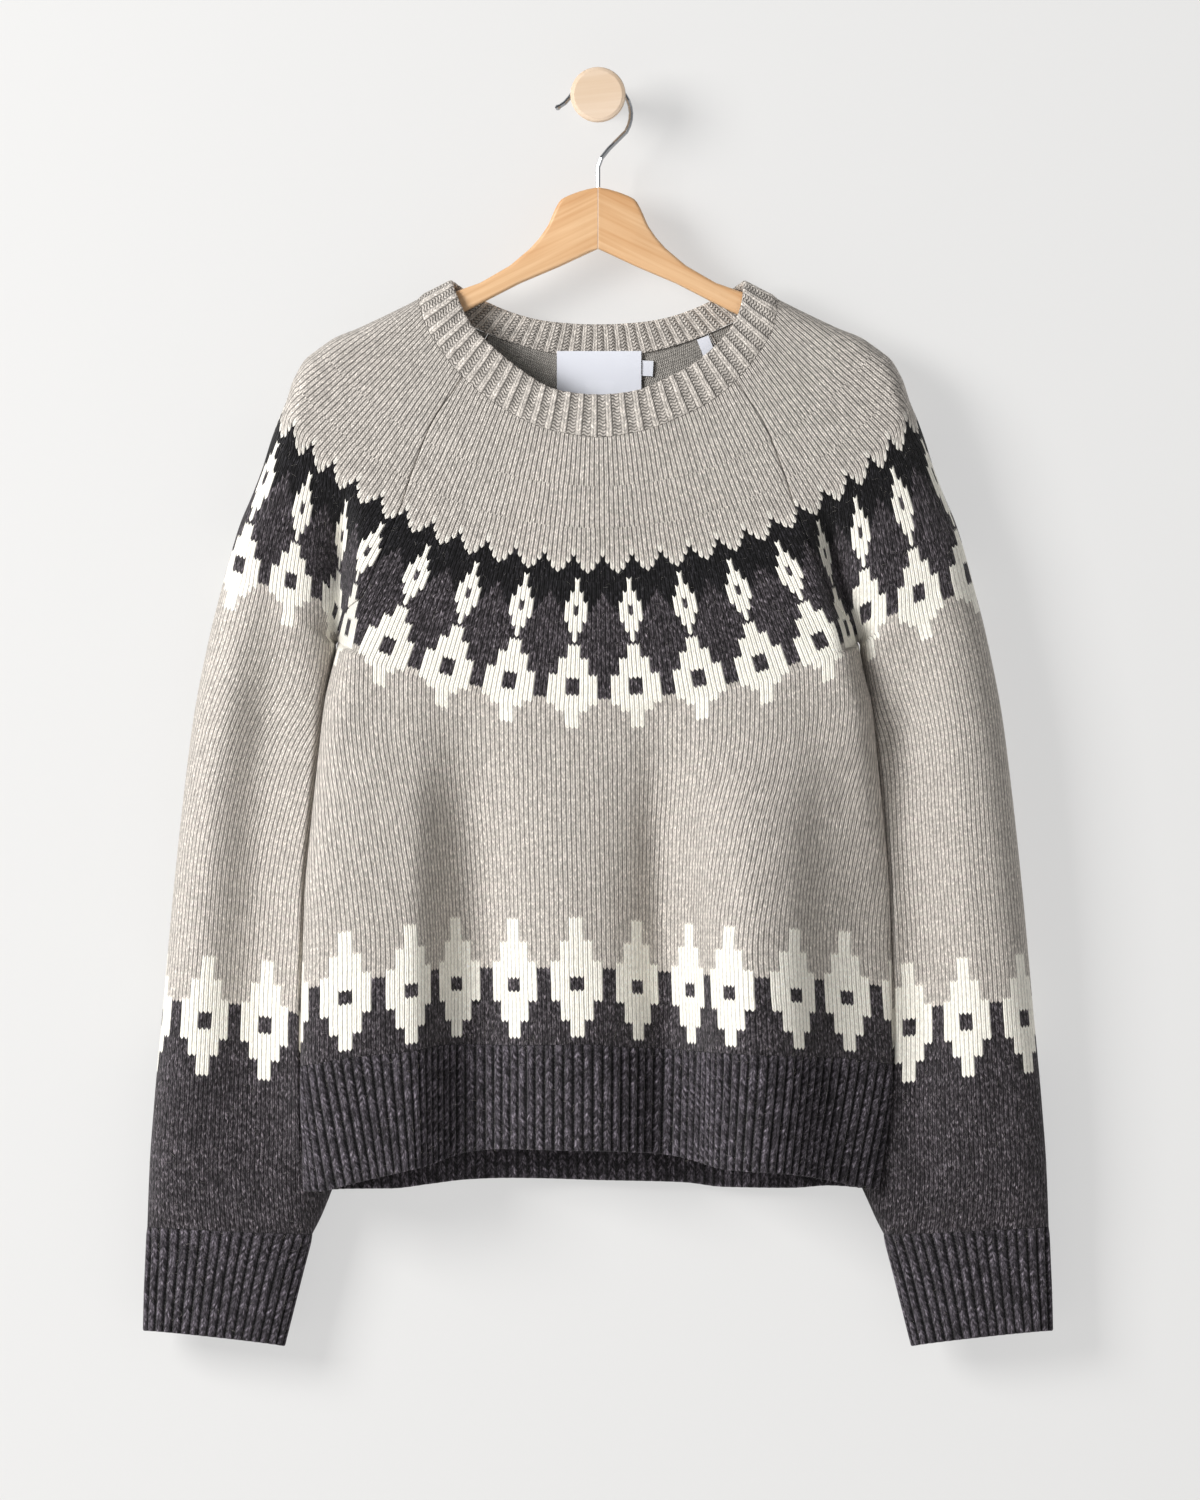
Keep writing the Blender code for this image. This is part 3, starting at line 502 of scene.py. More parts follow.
    def from_side(
        self,
        middle: np.ndarray,
        corner: np.ndarray,
        profile: Callable[[np.ndarray], np.ndarray],
        end_x: float,
        reach: float,
    ) -> np.ndarray:
        """Join the middle of a tube's side to its corner, and the corner to the wall beyond.

        Args:
            middle: the side seam, as x and y.
            corner: where the side turns into the wall.
            profile: the wall's y for each x.
            end_x: where the wall ends.
            reach: how far the corner's rounding runs.

        Returns:
            Places as x and y, from the wall's far end to the middle of the side.
        """
        x = corner[0] + (end_x - corner[0]) * (1 - self.shares())
        wall = corner[1] + (profile(x) - corner[1]) * rounded(np.abs(x - corner[0]), reach)
        link = corner + (middle - corner) * np.linspace(0, 1, 40)[1:, None]
        return np.vstack((np.column_stack((x, wall)), link))

    def body_quarter(self, side: Side, half: Half, level: float, hem: float) -> np.ndarray:
        """Points of one ring of the body tube from its centre line to the side seam.

        Args:
            side: left or right.
            half: front or back.
            level: 0 at the underarm and 1 at the rib's seam.
            hem: 0 at the rib's seam and 1 at the lower edge.

        Returns:
            Points from the centre line outwards.
        """
        front = half is Half.FRONT
        underarm_z = float(self.ring_z(UNDERARM_X))
        side_z = underarm_z + (self.rib_seam_z - underarm_z) * level
        side_z += (self.hem_side_z - self.rib_seam_z) * hem
        ahead, behind = self.side_points(side, underarm_z - side_z, sleeve=False)
        folds = FOLDS[half]
        fade = float(curve(FOLD_FADE["level"], FOLD_FADE["share"], level))
        places = folds["top"] + (folds["hem"] - folds["top"]) * min(1.0, level + hem)
        base = self.front_base if front else self.back_base

        def profile(x: np.ndarray) -> np.ndarray:
            """The wall's y: its base, with the folds that this height has."""
            return base - self.fold_share * fade * curve(places, folds["forward"], side.value * x)

        corner = ahead if front else behind
        reach = self.side_round - (0.0 if front else 2.0)
        flat = self.from_side((ahead + behind) / 2, corner, profile, 0.0, reach)
        x = flat[:, 0]
        widest = max(ahead[0], behind[0])
        arc = self.ring_z(x * UNDERARM_X / widest)
        seam_x = side.value * x * self.rib_half_width / widest
        seam = curve(RIB_SEAM["x"], RIB_SEAM["z"], seam_x)
        end = curve(HEM["x"], HEM[half.value], side.value * x)
        end += (self.hem_side_z - end) * np.clip(x / SIDES[side]["front_x"][-1], 0, 1) ** 6
        z = arc + (seam - arc) * level + (end - seam) * hem
        return np.column_stack((side.value * x, flat[:, 1], z))

    def sleeve_half(self, side: Side, half: Half, level: float) -> np.ndarray:
        """Points of one ring of a sleeve tube from its outer edge to its underarm seam.

        Args:
            side: left or right.
            half: front or back.
            level: 0 at the underarm and 1 at the cuff's seam.

        Returns:
            Points from the outer edge inwards.
        """
        row = {name: float(curve(SLEEVE["level"], SLEEVE[name], level)) for name in SLEEVE}
        underarm_z = float(self.ring_z(UNDERARM_X))
        ahead, behind = self.side_points(side, underarm_z - row["inner_z"], sleeve=True)
        free = float(smooth(-690.0, -720.0, row["inner_z"]))
        inner_x, inner_y = (
            float(curve(SLEEVE_INNER["z"], SLEEVE_INNER[name], row["inner_z"])) for name in "xy"
        )
        inner = np.array((inner_x, inner_y))
        ahead = ahead + (inner - ahead) * free
        behind = behind + (inner - behind) * free
        folds = SLEEVE_FOLDS[side]
        fade = float(curve(SLEEVE_FADE["level"], SLEEVE_FADE["share"], level))
        width = row["outer_x"] - (inner_x if free > 0 else behind[0])

        def profile(x: np.ndarray) -> np.ndarray:
            """The wall's y: nearly flat at the back, with soft folds at the front."""
            if half is Half.BACK:
                return np.full_like(x, -8.0 - 2.0 * level)
            shares = (row["outer_x"] - x) / width
            return row["front"] - fade * curve(folds["share"], folds["forward"], shares)

        corner = ahead if half is Half.FRONT else behind
        reach = self.sleeve_round if half is Half.FRONT else 20.0
        flat = self.from_side((ahead + behind) / 2, corner, profile, row["outer_x"], reach)
        x = flat[:, 0]
        y = row["out_y"] + (flat[:, 1] - row["out_y"]) * rounded(row["outer_x"] - x, 22.0)
        share = (row["outer_x"] - x) / (row["outer_x"] - behind[0])
        z = row["outer_z"] + (row["inner_z"] - row["outer_z"]) * share
        top_x, top_z = self.sleeve_top_x, self.sleeve_top_z
        chord = top_z + (underarm_z - top_z) * share
        bent = self.ring_z(top_x - share * (top_x - UNDERARM_X)) - chord
        z += bent * max(0.0, 1 - level / self.sleeve_bend)
        return np.column_stack((side.value * x, y, z))

    def cuff_half(self, side: Side, half: Half, level: float) -> np.ndarray:
        """Points of one ring of a cuff from its outer edge to its inner edge.

        Args:
            side: left or right.
            half: front or back.
            level: 0 at the cuff's seam and 1 at its lower edge.

        Returns:
            Points from the outer edge inwards.
        """
        row = {name: float(curve(CUFF["level"], CUFF[name], level)) for name in CUFF}
        turn = np.linspace(0, math.pi, 2 * self.samples)
        share = (1 - np.cos(turn)) / 2
        middle_y = -30.0 + 2.0 * (1 - level) * share
        y = middle_y + (row[half.value] - middle_y) * np.sin(turn) ** 0.75
        x = row["outer_x"] + (row["inner_x"] - row["outer_x"]) * share
        z = row["outer_z"] + (row["inner_z"] - row["outer_z"]) * share
        return np.column_stack((side.value * x, y, z + 1.5 * np.sin(turn) * level))

    def joined(self, stretches: Sequence[np.ndarray], extra: float = 0.0) -> Ring:
        """One closed loop from stretches that follow on, softened as wool is.

        Args:
            stretches: lines of points, the last of which ends where the first starts.
            extra: more softness, for a thicker band.

        Returns:
            The loop's places and points.
        """
        points = np.vstack([s[:-1] for s in stretches] + [stretches[-1][-1:]])
        places = []
        for number, stretch in enumerate(stretches):
            length = running_length(stretch)
            places.append(number + length[:-1] / length[-1])
        places = np.concatenate(places + [[float(len(stretches))]])
        length = running_length(points)
        even = np.linspace(0, length[-1], self.loop_points, endpoint=False)
        spread = (self.softness + extra) / (length[-1] / self.loop_points)
        waves = np.fft.fftfreq(self.loop_points)
        damping = np.exp(-2 * (math.pi * waves * spread) ** 2)
        loop = [np.interp(even, length, points[:, i]) for i in range(3)]
        soft = np.column_stack([np.fft.ifft(np.fft.fft(row) * damping).real for row in loop])
        at = np.interp(even, length, places)
        return np.append(at, places[-1]), np.vstack((soft, soft[:1]))

    def from_quarters(
        self, quarter: Callable[..., np.ndarray], levels: Sequence[float], extra: float = 0.0
    ) -> Ring:
        """Join a ring's four quarters, from the left over the front and the right to the back.

        Args:
            quarter: gives a quarter's points, from its centre line outwards.
            levels: the height or heights that it takes.
            extra: more softness, for a thicker band.

        Returns:
            The loop's places and points.
        """
        order = (
            (Side.LEFT, Half.FRONT, -1),
            (Side.RIGHT, Half.FRONT, 1),
            (Side.RIGHT, Half.BACK, -1),
            (Side.LEFT, Half.BACK, 1),
        )
        lines = [quarter(side, half, *levels)[::way] for side, half, way in order]
        return self.joined(lines, extra)

    def yoke_ring(self, level: float) -> Ring:
        """A loop of the yoke, or of the neckband above it, which is softer."""
        return self.from_quarters(self.yoke_quarter, (level,), 3.5 * max(0.0, -level))

    def body_ring(self, level: float) -> Ring:
        """A loop of the body: level 0 is the underarm, 1 the rib's seam and 2 the hem's edge."""
        return self.from_quarters(self.body_quarter, (min(level, 1.0), max(level - 1.0, 0.0)))

    def tube_ring(self, side: Side, half: Callable[..., np.ndarray], level: float) -> Ring:
        """A sleeve's or cuff's loop from its two stretches."""
        first, second = Half.FRONT, Half.BACK
        if side is Side.LEFT:
            first, second = second, first
        return self.joined((half(side, first, level)[::-1], half(side, second, level)))

    def sleeve_ring(self, side: Side, level: float) -> Ring:
        """A loop of a sleeve: level 1 is the cuff's seam, and 2 the cuff's edge."""
        if level > 1:
            return self.tube_ring(side, self.cuff_half, level - 1)
        places, points = self.tube_ring(side, self.sleeve_half, level)
        cuff = place_on(self.tube_ring(side, self.cuff_half, 0.0), np.clip(places, 0, 1.99999))
        cuff[-1] = cuff[0]
        return places, points + (cuff - points) * float(smooth(0.92, 1.0, level))

    def seam_place(self, ring: Ring, side: Side, half: Half, level: float) -> float:
        """Find a raglan seam on a yoke ring. The seam ends in the armpit's fold.

        Args:
            ring: the loop.
            side: left or right.
            half: front or back.
            level: the ring's level, from 0 at the neck seam to 1 at the underarm.

        Returns:
            The seam's place on the loop.
        """
        places, points = ring
        order = {(-1, "front"): 0, (1, "front"): 1, (1, "back"): 2, (-1, "back"): 3}
        quarter = order[(side.value, half.value)]
        inside = (places >= quarter) & (places <= quarter + 1)
        own = points[inside]
        radius = np.hypot(own[:, 0], own[:, 2] - self.centre_z)
        angle = np.degrees(np.arctan2(np.abs(own[:, 0]), self.centre_z - own[:, 2]))
        off_line = angle - curve(RAGLAN["radius"], RAGLAN["angle"], radius)
        off_fold = np.abs(own[:, 0]) - curve(ARMPIT["radius"], ARMPIT[side.name.lower()], radius)
        on_line = np.interp(0, *self.rising(off_line, places[inside]))
        in_fold = np.interp(0, *self.rising(off_fold, places[inside]))
        return float(on_line + (in_fold - on_line) * smooth(0.80, 0.97, level))

    @staticmethod
    def rising(values: np.ndarray, places: np.ndarray) -> tuple[np.ndarray, np.ndarray]:
        """Values in rising order with their places, so that a zero can be read from them."""
        if values[-1] < values[0]:
            values, places = values[::-1], places[::-1]
        return np.maximum.accumulate(values), places


@dataclass
class Grid:
    """A sheet of points with its outward directions and its knitting coordinates.

    chart holds repeats across and millimetres along the pattern, and rows the millimetres along
    that the stitches' rows are counted by.
    """

    points: np.ndarray
    normals: np.ndarray
    repeats: np.ndarray
    chart: np.ndarray
    rows: np.ndarray
    closed: bool = False
    thickness: np.ndarray | None = None

    @staticmethod
    def outward(points: np.ndarray, closed: bool) -> np.ndarray:
        """Outward directions of a grid of points, by differences along its rows and columns."""
        if closed:
            along = np.roll(points, -1, axis=1) - np.roll(points, 1, axis=1)
        else:
            along = np.gradient(points, axis=1)
        down = np.gradient(points, axis=0)
        normal = np.cross(down, along)
        return normal / np.maximum(np.linalg.norm(normal, axis=2), 1e-9)[:, :, None]

    def trimmed(self) -> Grid:
        """Drop the columns beyond the edges, which only serve the directions there."""
        for name in ("points", "normals", "repeats", "chart", "rows"):
            setattr(self, name, getattr(self, name)[:, 1:-1].copy())
        return self


def hex_colour(code: str) -> tuple[float, float, float, float]:
    """Turn an sRGB hex value into a linear colour."""
    parts = [int(code[i : i + 2], 16) / 255 for i in (1, 3, 5)]
    linear = [p / 12.92 if p <= 0.04045 else ((p + 0.055) / 1.055) ** 2.4 for p in parts]
    return (linear[0], linear[1], linear[2], 1.0)


def add_node(
    tree: Tree,
    kind: str,
    settings: dict[str, object] | None = None,
    inputs: dict[int | str, object] | None = None,
) -> bpy.types.Node:
    """Add a node with its settings, and set or link its inputs.

    Args:
        tree: the tree that takes the node.
        kind: the node's type name.
        settings: attributes of the node.
        inputs: for each input's name or number, a value or the socket to link.

    Returns:
        The new node.
    """
    node = tree.nodes.new(kind)
    for name, value in (settings or {}).items():
        setattr(node, name, value)
    for key, value in (inputs or {}).items():
        if isinstance(value, Socket):
            tree.links.new(value, node.inputs[key])
        else:
            node.inputs[key].default_value = value
    return node


def put_in_scene(name: str, data: bpy.types.ID) -> bpy.types.Object:
    """Make an object of some data and link it to the scene."""
    made = bpy.data.objects.new(name, data)
    bpy.context.scene.collection.objects.link(made)
    return made


def new_material(name: str) -> tuple[bpy.types.Material, Tree, bpy.types.Node]:
    """Make a material, and give it with its tree and its shader."""
    material = bpy.data.materials.new(name)
    material.use_nodes = True
    return material, material.node_tree, material.node_tree.nodes["Principled BSDF"]


def add_bump(
    tree: Tree,
    shader: bpy.types.Node,
    strength: float,
    distance: float,
    height: Socket,
) -> None:
    """Make a shader's surface uneven.

    Args:
        tree: the material's tree.
        shader: the shader.
        strength: how much of the unevenness shows.
        distance: how high a height of 1 stands, in metres.
        height: the height's socket.
    """
    inputs = {"Strength": strength, "Distance": distance, "Height": height}
    bump = add_node(tree, "ShaderNodeBump", inputs=inputs)
    tree.links.new(bump.outputs[0], shader.inputs["Normal"])


def mix_colours(
    tree: Tree, share: Socket, first: object, second: object
) -> Socket:
    """Mix two colours, each a value or a socket, by a share that 1 gives to the second."""
    inputs = {0: share, 6: first, 7: second}
    return add_node(tree, "ShaderNodeMix", {"data_type": "RGBA"}, inputs).outputs[2]


def work_out(
    tree: Tree,
    values: dict[str, Socket],
    steps: Sequence[tuple],
) -> None:
    """Work out named values in a tree, one sum at a time.

    Args:
        tree: the tree that takes the sums.
        values: sockets by name, to which each step adds its own.
        steps: for each, its name, its operation, and its operands as names or numbers.
    """
    for name, operation, *operands in steps:
        inputs = {i: values[x] if isinstance(x, str) else x for i, x in enumerate(operands)}
        node = add_node(tree, "ShaderNodeMath", {"operation": operation}, inputs)
        values[name] = node.outputs[0]


def set_ramp(node: bpy.types.Node, stops: Sequence[tuple[float, float]]) -> None:
    """Give a colour ramp flat steps.

    Args:
        node: the ramp's node.
        stops: for each step, the place where it starts and its grey.
    """
    ramp = node.color_ramp
    ramp.interpolation = "CONSTANT"
    while len(ramp.elements) > 1:
        ramp.elements.remove(ramp.elements[-1])
    for i, (place, value) in enumerate(stops):
        element = ramp.elements[0] if i == 0 else ramp.elements.new(place)
        element.position = place
        element.color = (value, value, value, 1.0)


@dataclass(frozen=True)
class Chart:
    """The yoke's and borders' stitch chart, by distance in millimetres.

    The yoke's distances run from its centre, and a border's from its rib, taken from border_end.
    Each row of a figure gives where it starts and how many stitches wide it is.
    """

    low: float = 200.0
    high: float = 1000.0
    widest: float = 16.0
    border_end: float = 1000.0
    small_diamond: tuple = ((287.2, 1), (294.1, 3), (300.2, 5), (313.0, 3), (320.1, 1), (325.8, 0))
    large_diamond: tuple = ((330.2, 3), (339.6, 7), (348.1, 11), (366.3, 7), (375.0, 3), (383.5, 0))
    border_diamond: tuple = ((81.5, 3), (68.2, 7), (54.3, 11), (29.9, 7), (17.7, 3), (5.5, 0))
    small_dot: tuple = ((304.5, 1), (310.0, 0))
    large_dot: tuple = ((352.7, 3), (362.4, 0))
    border_dot: tuple = ((46.6, 3), (37.0, 0))
    charcoal: tuple = ((295.8, 1), (299.3, 3), (303.9, 5), (308.8, 7), (315.3, 32), (364.0, 0))
    border_charcoal: tuple = ((50.7, 32),)
    stitches: tuple = ((0.0, 8), (224.0, 9), (253.5, 10), (286.0, 12), (325.0, 14))
    scallop_start: float = 273.0
    scallop_share: float = 0.6
    scallop_stitches: float = 6.0
    scallop_rise: float = 4.9
    scallop_flatten: float = 0.41
    pale_rows: float = 1.5

    def steps(self, *figures: tuple, scale: float) -> list[tuple[float, float]]:
        """Work out a ramp's steps.

        Args:
            figures: the rows of the yoke's figures, and then those of a border's.
            scale: the width that the ramp's full value stands for.

        Returns:
            Places and values for set_ramp.
        """
        yoke, border = figures
        stops = [(0.0, 0.0)]
        for start, width in yoke:
            stops.append(((start - self.low) / (self.high - self.low), width / scale))
        for start, width in border:
            place = (self.border_end - start - self.low) / (self.high - self.low)
            stops.append((place, width / scale))
        return stops


@dataclass(frozen=True)
class WoolFinish:
    """Carded lambswool yarn, knitted: matt, with soft stitches and flecks of paler fibre.

    The flecks, and the shade painted into the lines between the stitches, are what the eye takes as
    heathered wool.
    """

    name: str
    knit: Knit
    base: str
    dark: str = "#151416"
    charcoal: str = "#3B373A"
    cream: str = "#EFEBE0"
    pale: str = "#D5D0C7"
    fleck: float = 0.42
    dark_fleck: float = 1.7
    cream_fleck: float = 0.16
    # How much shade is painted into the gaps between the stitches: of the grey and dark yarns, of
    # the cream, and more on the yoke.
    painted_stitch_shade: float = 0.84
    painted_cream_shade: float = 0.36
    painted_yoke_shade: float = 0.1
    leg_lean: float = 1.7
    sway: float = 0.3
    sway_scale: float = 55.0
    # Painted shade in a rib's grooves: the share of the colour that the grooves keep, 1 for none.
    painted_groove_shade: float = 1.0
    bump_mm: float = 1.1
    rib_stitches: float = 2.0
    inside_stitches: float = 14.0
    fibres_a_stitch: float = 3.6
    cord_share: float = 0.25
    # Where across a rib the grooves' painted shade starts, and how fast it deepens.
    painted_groove_shade_start: float = 0.15
    painted_groove_shade_slope: float = 5.0
    leg_turn: float = 3.4
    leg_middle: float = 0.62
    leg_power: float = 2.2
    row_dip: float = 0.4
    purl_sway: float = 0.3
    purl_power: float = 0.8
    fibre_contrast: float = 2.6
    patch_contrast: float = 0.25
    # Painted light on the stitches' crests, from which the painted shade in the gaps is taken off.
    painted_crest_light: float = 1.2
    darkest: float = 0.05

    def build(self) -> bpy.types.Material:
        """Make the wool's material.

        Returns:
            The material, which reads the piece's own "chart" and "rows" maps.
        """
        material, tree, shader = new_material(self.name)
        values = self.coordinates(tree)
        colour = self.colours(tree, values)
        colour = self.flecked(tree, values, colour)
        tree.links.new(colour, shader.inputs["Base Color"])
        shader.inputs["Roughness"].default_value = 0.95
        shader.inputs["Specular IOR Level"].default_value = 0.12
        shader.inputs["Sheen Weight"].default_value = 0.08
        shader.inputs["Sheen Roughness"].default_value = 0.6
        add_bump(tree, shader, 0.8, self.bump_mm * MM, values["height"])
        return material

    def coordinates(self, tree: Tree) -> dict[str, Socket]:
        """Count the stitches and rows, and shape one stitch.

        Args:
            tree: the material's tree.

        Returns:
            Sockets by name: column and row numbers, places in them, and the stitch's height.
        """
        chart = Chart()
        values: dict[str, Socket] = {}
        for name, ends in (("chart", ("u", "v")), ("rows", ("spare", "along"))):
            uv = add_node(tree, "ShaderNodeUVMap", {"uv_map": name})
            split = add_node(tree, "ShaderNodeSeparateXYZ", inputs={0: uv.outputs[0]})
            values[ends[0]], values[ends[1]] = split.outputs[0], split.outputs[1]
        if self.knit is Knit.CHART:
            work_out(tree, values, [("at", "DIVIDE", "v", STITCH_RAMP_MM)])
            count = add_node(tree, "ShaderNodeValToRGB", inputs={0: values["at"]})
            stops = [(start / STITCH_RAMP_MM, n / STITCH_RAMP_TOP) for start, n in chart.stitches]
            set_ramp(count, stops)
            values["share"] = count.outputs[0]
            work_out(tree, values, [("n", "MULTIPLY", "share", STITCH_RAMP_TOP)])
        else:
            values["n"] = add_node(tree, "ShaderNodeValue").outputs[0]
            rib = self.knit is Knit.RIB
            values["n"].default_value = self.rib_stitches if rib else self.inside_stitches
        place = add_node(tree, "ShaderNodeTexCoord").outputs["Object"]
        sway = add_node(
            tree,
            "ShaderNodeTexNoise",
            inputs={"Vector": place, "Scale": self.sway_scale, "Detail": 1.0},
        )
        values["sway_noise"] = sway.outputs[0]
        work_out(
            tree,
            values,
            [
                ("sway_off", "SUBTRACT", "sway_noise", 0.5),
                ("even", "MULTIPLY_ADD", "u", "n", 0.5),
                ("across", "MULTIPLY_ADD", "sway_off", self.sway, "even"),
                ("column", "FLOOR", "across"),
                ("in_column", "SUBTRACT", "across", "column"),
                ("off_middle", "SUBTRACT", "in_column", 0.5),
                ("spread", "ABSOLUTE", "off_middle"),
                ("counted", "DIVIDE", "along", ROW_MM),
                ("leaning", "MULTIPLY_ADD", "spread", self.leg_lean, "counted"),
                ("row", "FLOOR", "leaning"),
                ("in_row", "SUBTRACT", "leaning", "row"),
                ("leg_turn", "MULTIPLY_ADD", "spread", self.leg_turn, -self.leg_middle),
                ("leg_far", "ABSOLUTE", "leg_turn"),
                ("leg_drop", "POWER", "leg_far", self.leg_power),
                ("leg_round", "SUBTRACT", 1.0, "leg_drop"),
                ("row_turn", "MULTIPLY_ADD", "in_row", 2.0, -1.0),
                ("row_square", "MULTIPLY", "row_turn", "row_turn"),
                ("row_drop", "MULTIPLY", "row_square", "row_square"),
                ("row_round", "MULTIPLY_ADD", "row_drop", -self.row_dip, 1.0),
                ("knit_height", "MULTIPLY", "leg_round", "row_round"),
                ("column_u", "DIVIDE", "column", "n"),
                ("row_mid", "ADD", "row", 0.5),
                ("row_v", "MULTIPLY", "row_mid", ROW_MM),
                ("shift", "SUBTRACT", "v", "along"),
                ("stitch_v", "ADD", "row_v", "shift"),
                ("scaled", "SUBTRACT", "stitch_v", chart.low),
                ("place", "DIVIDE", "scaled", chart.high - chart.low),
            ],
        )
        self.heights(tree, values)
        return values

    def heights(
        self, tree: Tree, values: dict[str, Socket]
    ) -> None:
        """Settle how high the yarn stands at each place, and how much shade is painted into a rib's
        grooves.

        Args:
            tree: the material's tree.
            values: the sockets so far, to which height and the grooves' painted shade are added.
        """
        flat = ("painted_groove_shade", "ADD", 0.0, 1.0)
        slope = self.painted_groove_shade_slope
        if self.knit is Knit.CHART:
            work_out(tree, values, [("height", "MAXIMUM", "knit_height", 0.0), flat])
            return
        work_out(
            tree,
            values,
            [
                ("purl_turn", "MULTIPLY", "even", 2 * math.pi),
                ("purl_sine", "SINE", "purl_turn"),
                ("purl_wave", "MULTIPLY_ADD", "purl_sine", self.purl_sway, "counted"),
                ("purl_angle", "MULTIPLY", "purl_wave", math.pi),
                ("purl_side", "SINE", "purl_angle"),
                ("purl_bump", "ABSOLUTE", "purl_side"),
            ],
        )
        if self.knit is Knit.PURL:
            work_out(tree, values, [("height", "POWER", "purl_bump", self.purl_power), flat])
            return
        work_out(
            tree,
            values,
            [
                ("rib_turn", "ADD", "u", 0.5),
                ("rib_part", "FRACT", "rib_turn"),
                ("rib_off", "SUBTRACT", "rib_part", 0.5),
                ("rib_far", "ABSOLUTE", "rib_off"),
                ("in_purl", "GREATER_THAN", "rib_far", self.cord_share),
                ("in_knit", "SUBTRACT", 1.0, "in_purl"),
                ("purl_part", "MULTIPLY", "purl_bump", "in_purl"),
                ("both", "MULTIPLY_ADD", "knit_height", "in_knit", "purl_part"),
                ("height", "MAXIMUM", "both", 0.0),
                # How far into a rib's groove a place lies, which sets the groove's painted shade.
                ("groove_shade_in", "MULTIPLY_ADD", "rib_far", slope, -slope * self.painted_groove_shade_start),
                ("groove_shade_low", "MAXIMUM", "groove_shade_in", 0.0),
                ("depth", "MINIMUM", "groove_shade_low", 1.0),
                ("painted_groove_shade", "MULTIPLY_ADD", "depth", self.painted_groove_shade - 1.0, 1.0),
            ],
        )

    def colours(
        self, tree: Tree, values: dict[str, Socket]
    ) -> Socket:
        """Choose each stitch's yarn from the chart.

        Args:
            tree: the material's tree.
            values: the sockets that coordinates gives.

        Returns:
            The colour's socket.
        """
        base = add_node(tree, "ShaderNodeRGB")
        base.outputs[0].default_value = hex_colour(self.base)
        values["fleck"] = add_node(tree, "ShaderNodeValue").outputs[0]
        values["fleck"].default_value = self.fleck
        # deep holds how much shade is painted into the gaps between the stitches.
        values["deep"] = add_node(tree, "ShaderNodeValue").outputs[0]
        values["deep"].default_value = self.painted_stitch_shade
        if self.knit is not Knit.CHART:
            return base.outputs[0]
        chart = Chart()
        rise = chart.scallop_rise
        figures = {
            "diamond": (chart.small_diamond + chart.large_diamond, chart.border_diamond),
            "dot": (chart.small_dot + chart.large_dot, chart.border_dot),
            "column_dark": (chart.charcoal, chart.border_charcoal),
        }
        for name, (yoke, border) in figures.items():
            node = add_node(tree, "ShaderNodeValToRGB", inputs={0: values["place"]})
            set_ramp(node, chart.steps(yoke, border, scale=2 * chart.widest))
            values[name] = node.outputs[0]
        work_out(
            tree,
            values,
            [
                ("turn", "FRACT", "column_u"),
                ("from_half", "SUBTRACT", "turn", 0.5),
                ("off_half", "ABSOLUTE", "from_half"),
                ("to_half", "MULTIPLY", "off_half", "n"),
                ("off_whole", "SUBTRACT", 0.5, "off_half"),
                ("to_whole", "MULTIPLY", "off_whole", "n"),
                ("diamond_reach", "MULTIPLY", "diamond", chart.widest),
                ("dot_reach", "MULTIPLY", "dot", chart.widest),
                ("dark_reach", "MULTIPLY", "column_dark", chart.widest),
                ("in_diamond", "LESS_THAN", "to_half", "diamond_reach"),
                ("in_dot", "LESS_THAN", "to_half", "dot_reach"),
                ("in_charcoal", "LESS_THAN", "to_whole", "dark_reach"),
                ("scallop_turn", "MULTIPLY_ADD", "column_u", 1 / chart.scallop_share, 0.5),
                ("scallop_part", "FRACT", "scallop_turn"),
                ("scallop_off", "SUBTRACT", "scallop_part", 0.5),
                ("scallop_far", "ABSOLUTE", "scallop_off"),
                ("scallop_at", "MULTIPLY", "scallop_far", chart.scallop_stitches),
                ("scallop_bend", "MULTIPLY_ADD", "scallop_at", -chart.scallop_flatten, rise),
                ("scallop_drop", "MULTIPLY", "scallop_at", "scallop_bend"),
                ("scallop_edge", "ADD", "scallop_drop", chart.scallop_start),
                ("below_edge", "GREATER_THAN", "stitch_v", "scallop_edge"),
                ("pale_edge", "SUBTRACT", "scallop_edge", chart.pale_rows * ROW_MM),
                ("in_pale", "GREATER_THAN", "stitch_v", "pale_edge"),
                ("in_yoke", "LESS_THAN", "stitch_v", chart.scallop_start),
                # More shade is painted into the stitch gaps on the yoke.
                ("deep", "MULTIPLY_ADD", "in_yoke", self.painted_yoke_shade, "deep"),
                ("above_grey", "LESS_THAN", "stitch_v", chart.charcoal[-1][0]),
                ("below_charts", "SUBTRACT", 1.0, "above_grey"),
                ("in_dark", "MULTIPLY", "below_edge", "above_grey"),
            ],
        )
        colour = base.outputs[0]
        # Each yarn sets its colour, its flecks, and how much shade is painted into the gaps between
        # its stitches.
        for mask, code, fleck, depth in (
            ("in_pale", self.pale, self.cream_fleck, self.painted_cream_shade),
            ("below_charts", self.base, self.fleck, self.painted_stitch_shade),
            ("in_dark", self.dark, self.dark_fleck, self.painted_stitch_shade),
            ("in_charcoal", self.charcoal, self.dark_fleck, self.painted_stitch_shade),
            ("in_diamond", self.cream, self.cream_fleck, self.painted_cream_shade),
            ("in_dot", self.charcoal, self.dark_fleck, self.painted_stitch_shade),
        ):
            colour = mix_colours(tree, values[mask], colour, hex_colour(code))
            work_out(
                tree,
                values,
                [
                    ("kept", "SUBTRACT", 1.0, mask),
                    ("was_fleck", "MULTIPLY", "fleck", "kept"),
                    ("fleck", "MULTIPLY_ADD", mask, fleck, "was_fleck"),
                    ("was_deep", "MULTIPLY", "deep", "kept"),
                    ("deep", "MULTIPLY_ADD", mask, depth, "was_deep"),
                ],
            )
        return colour

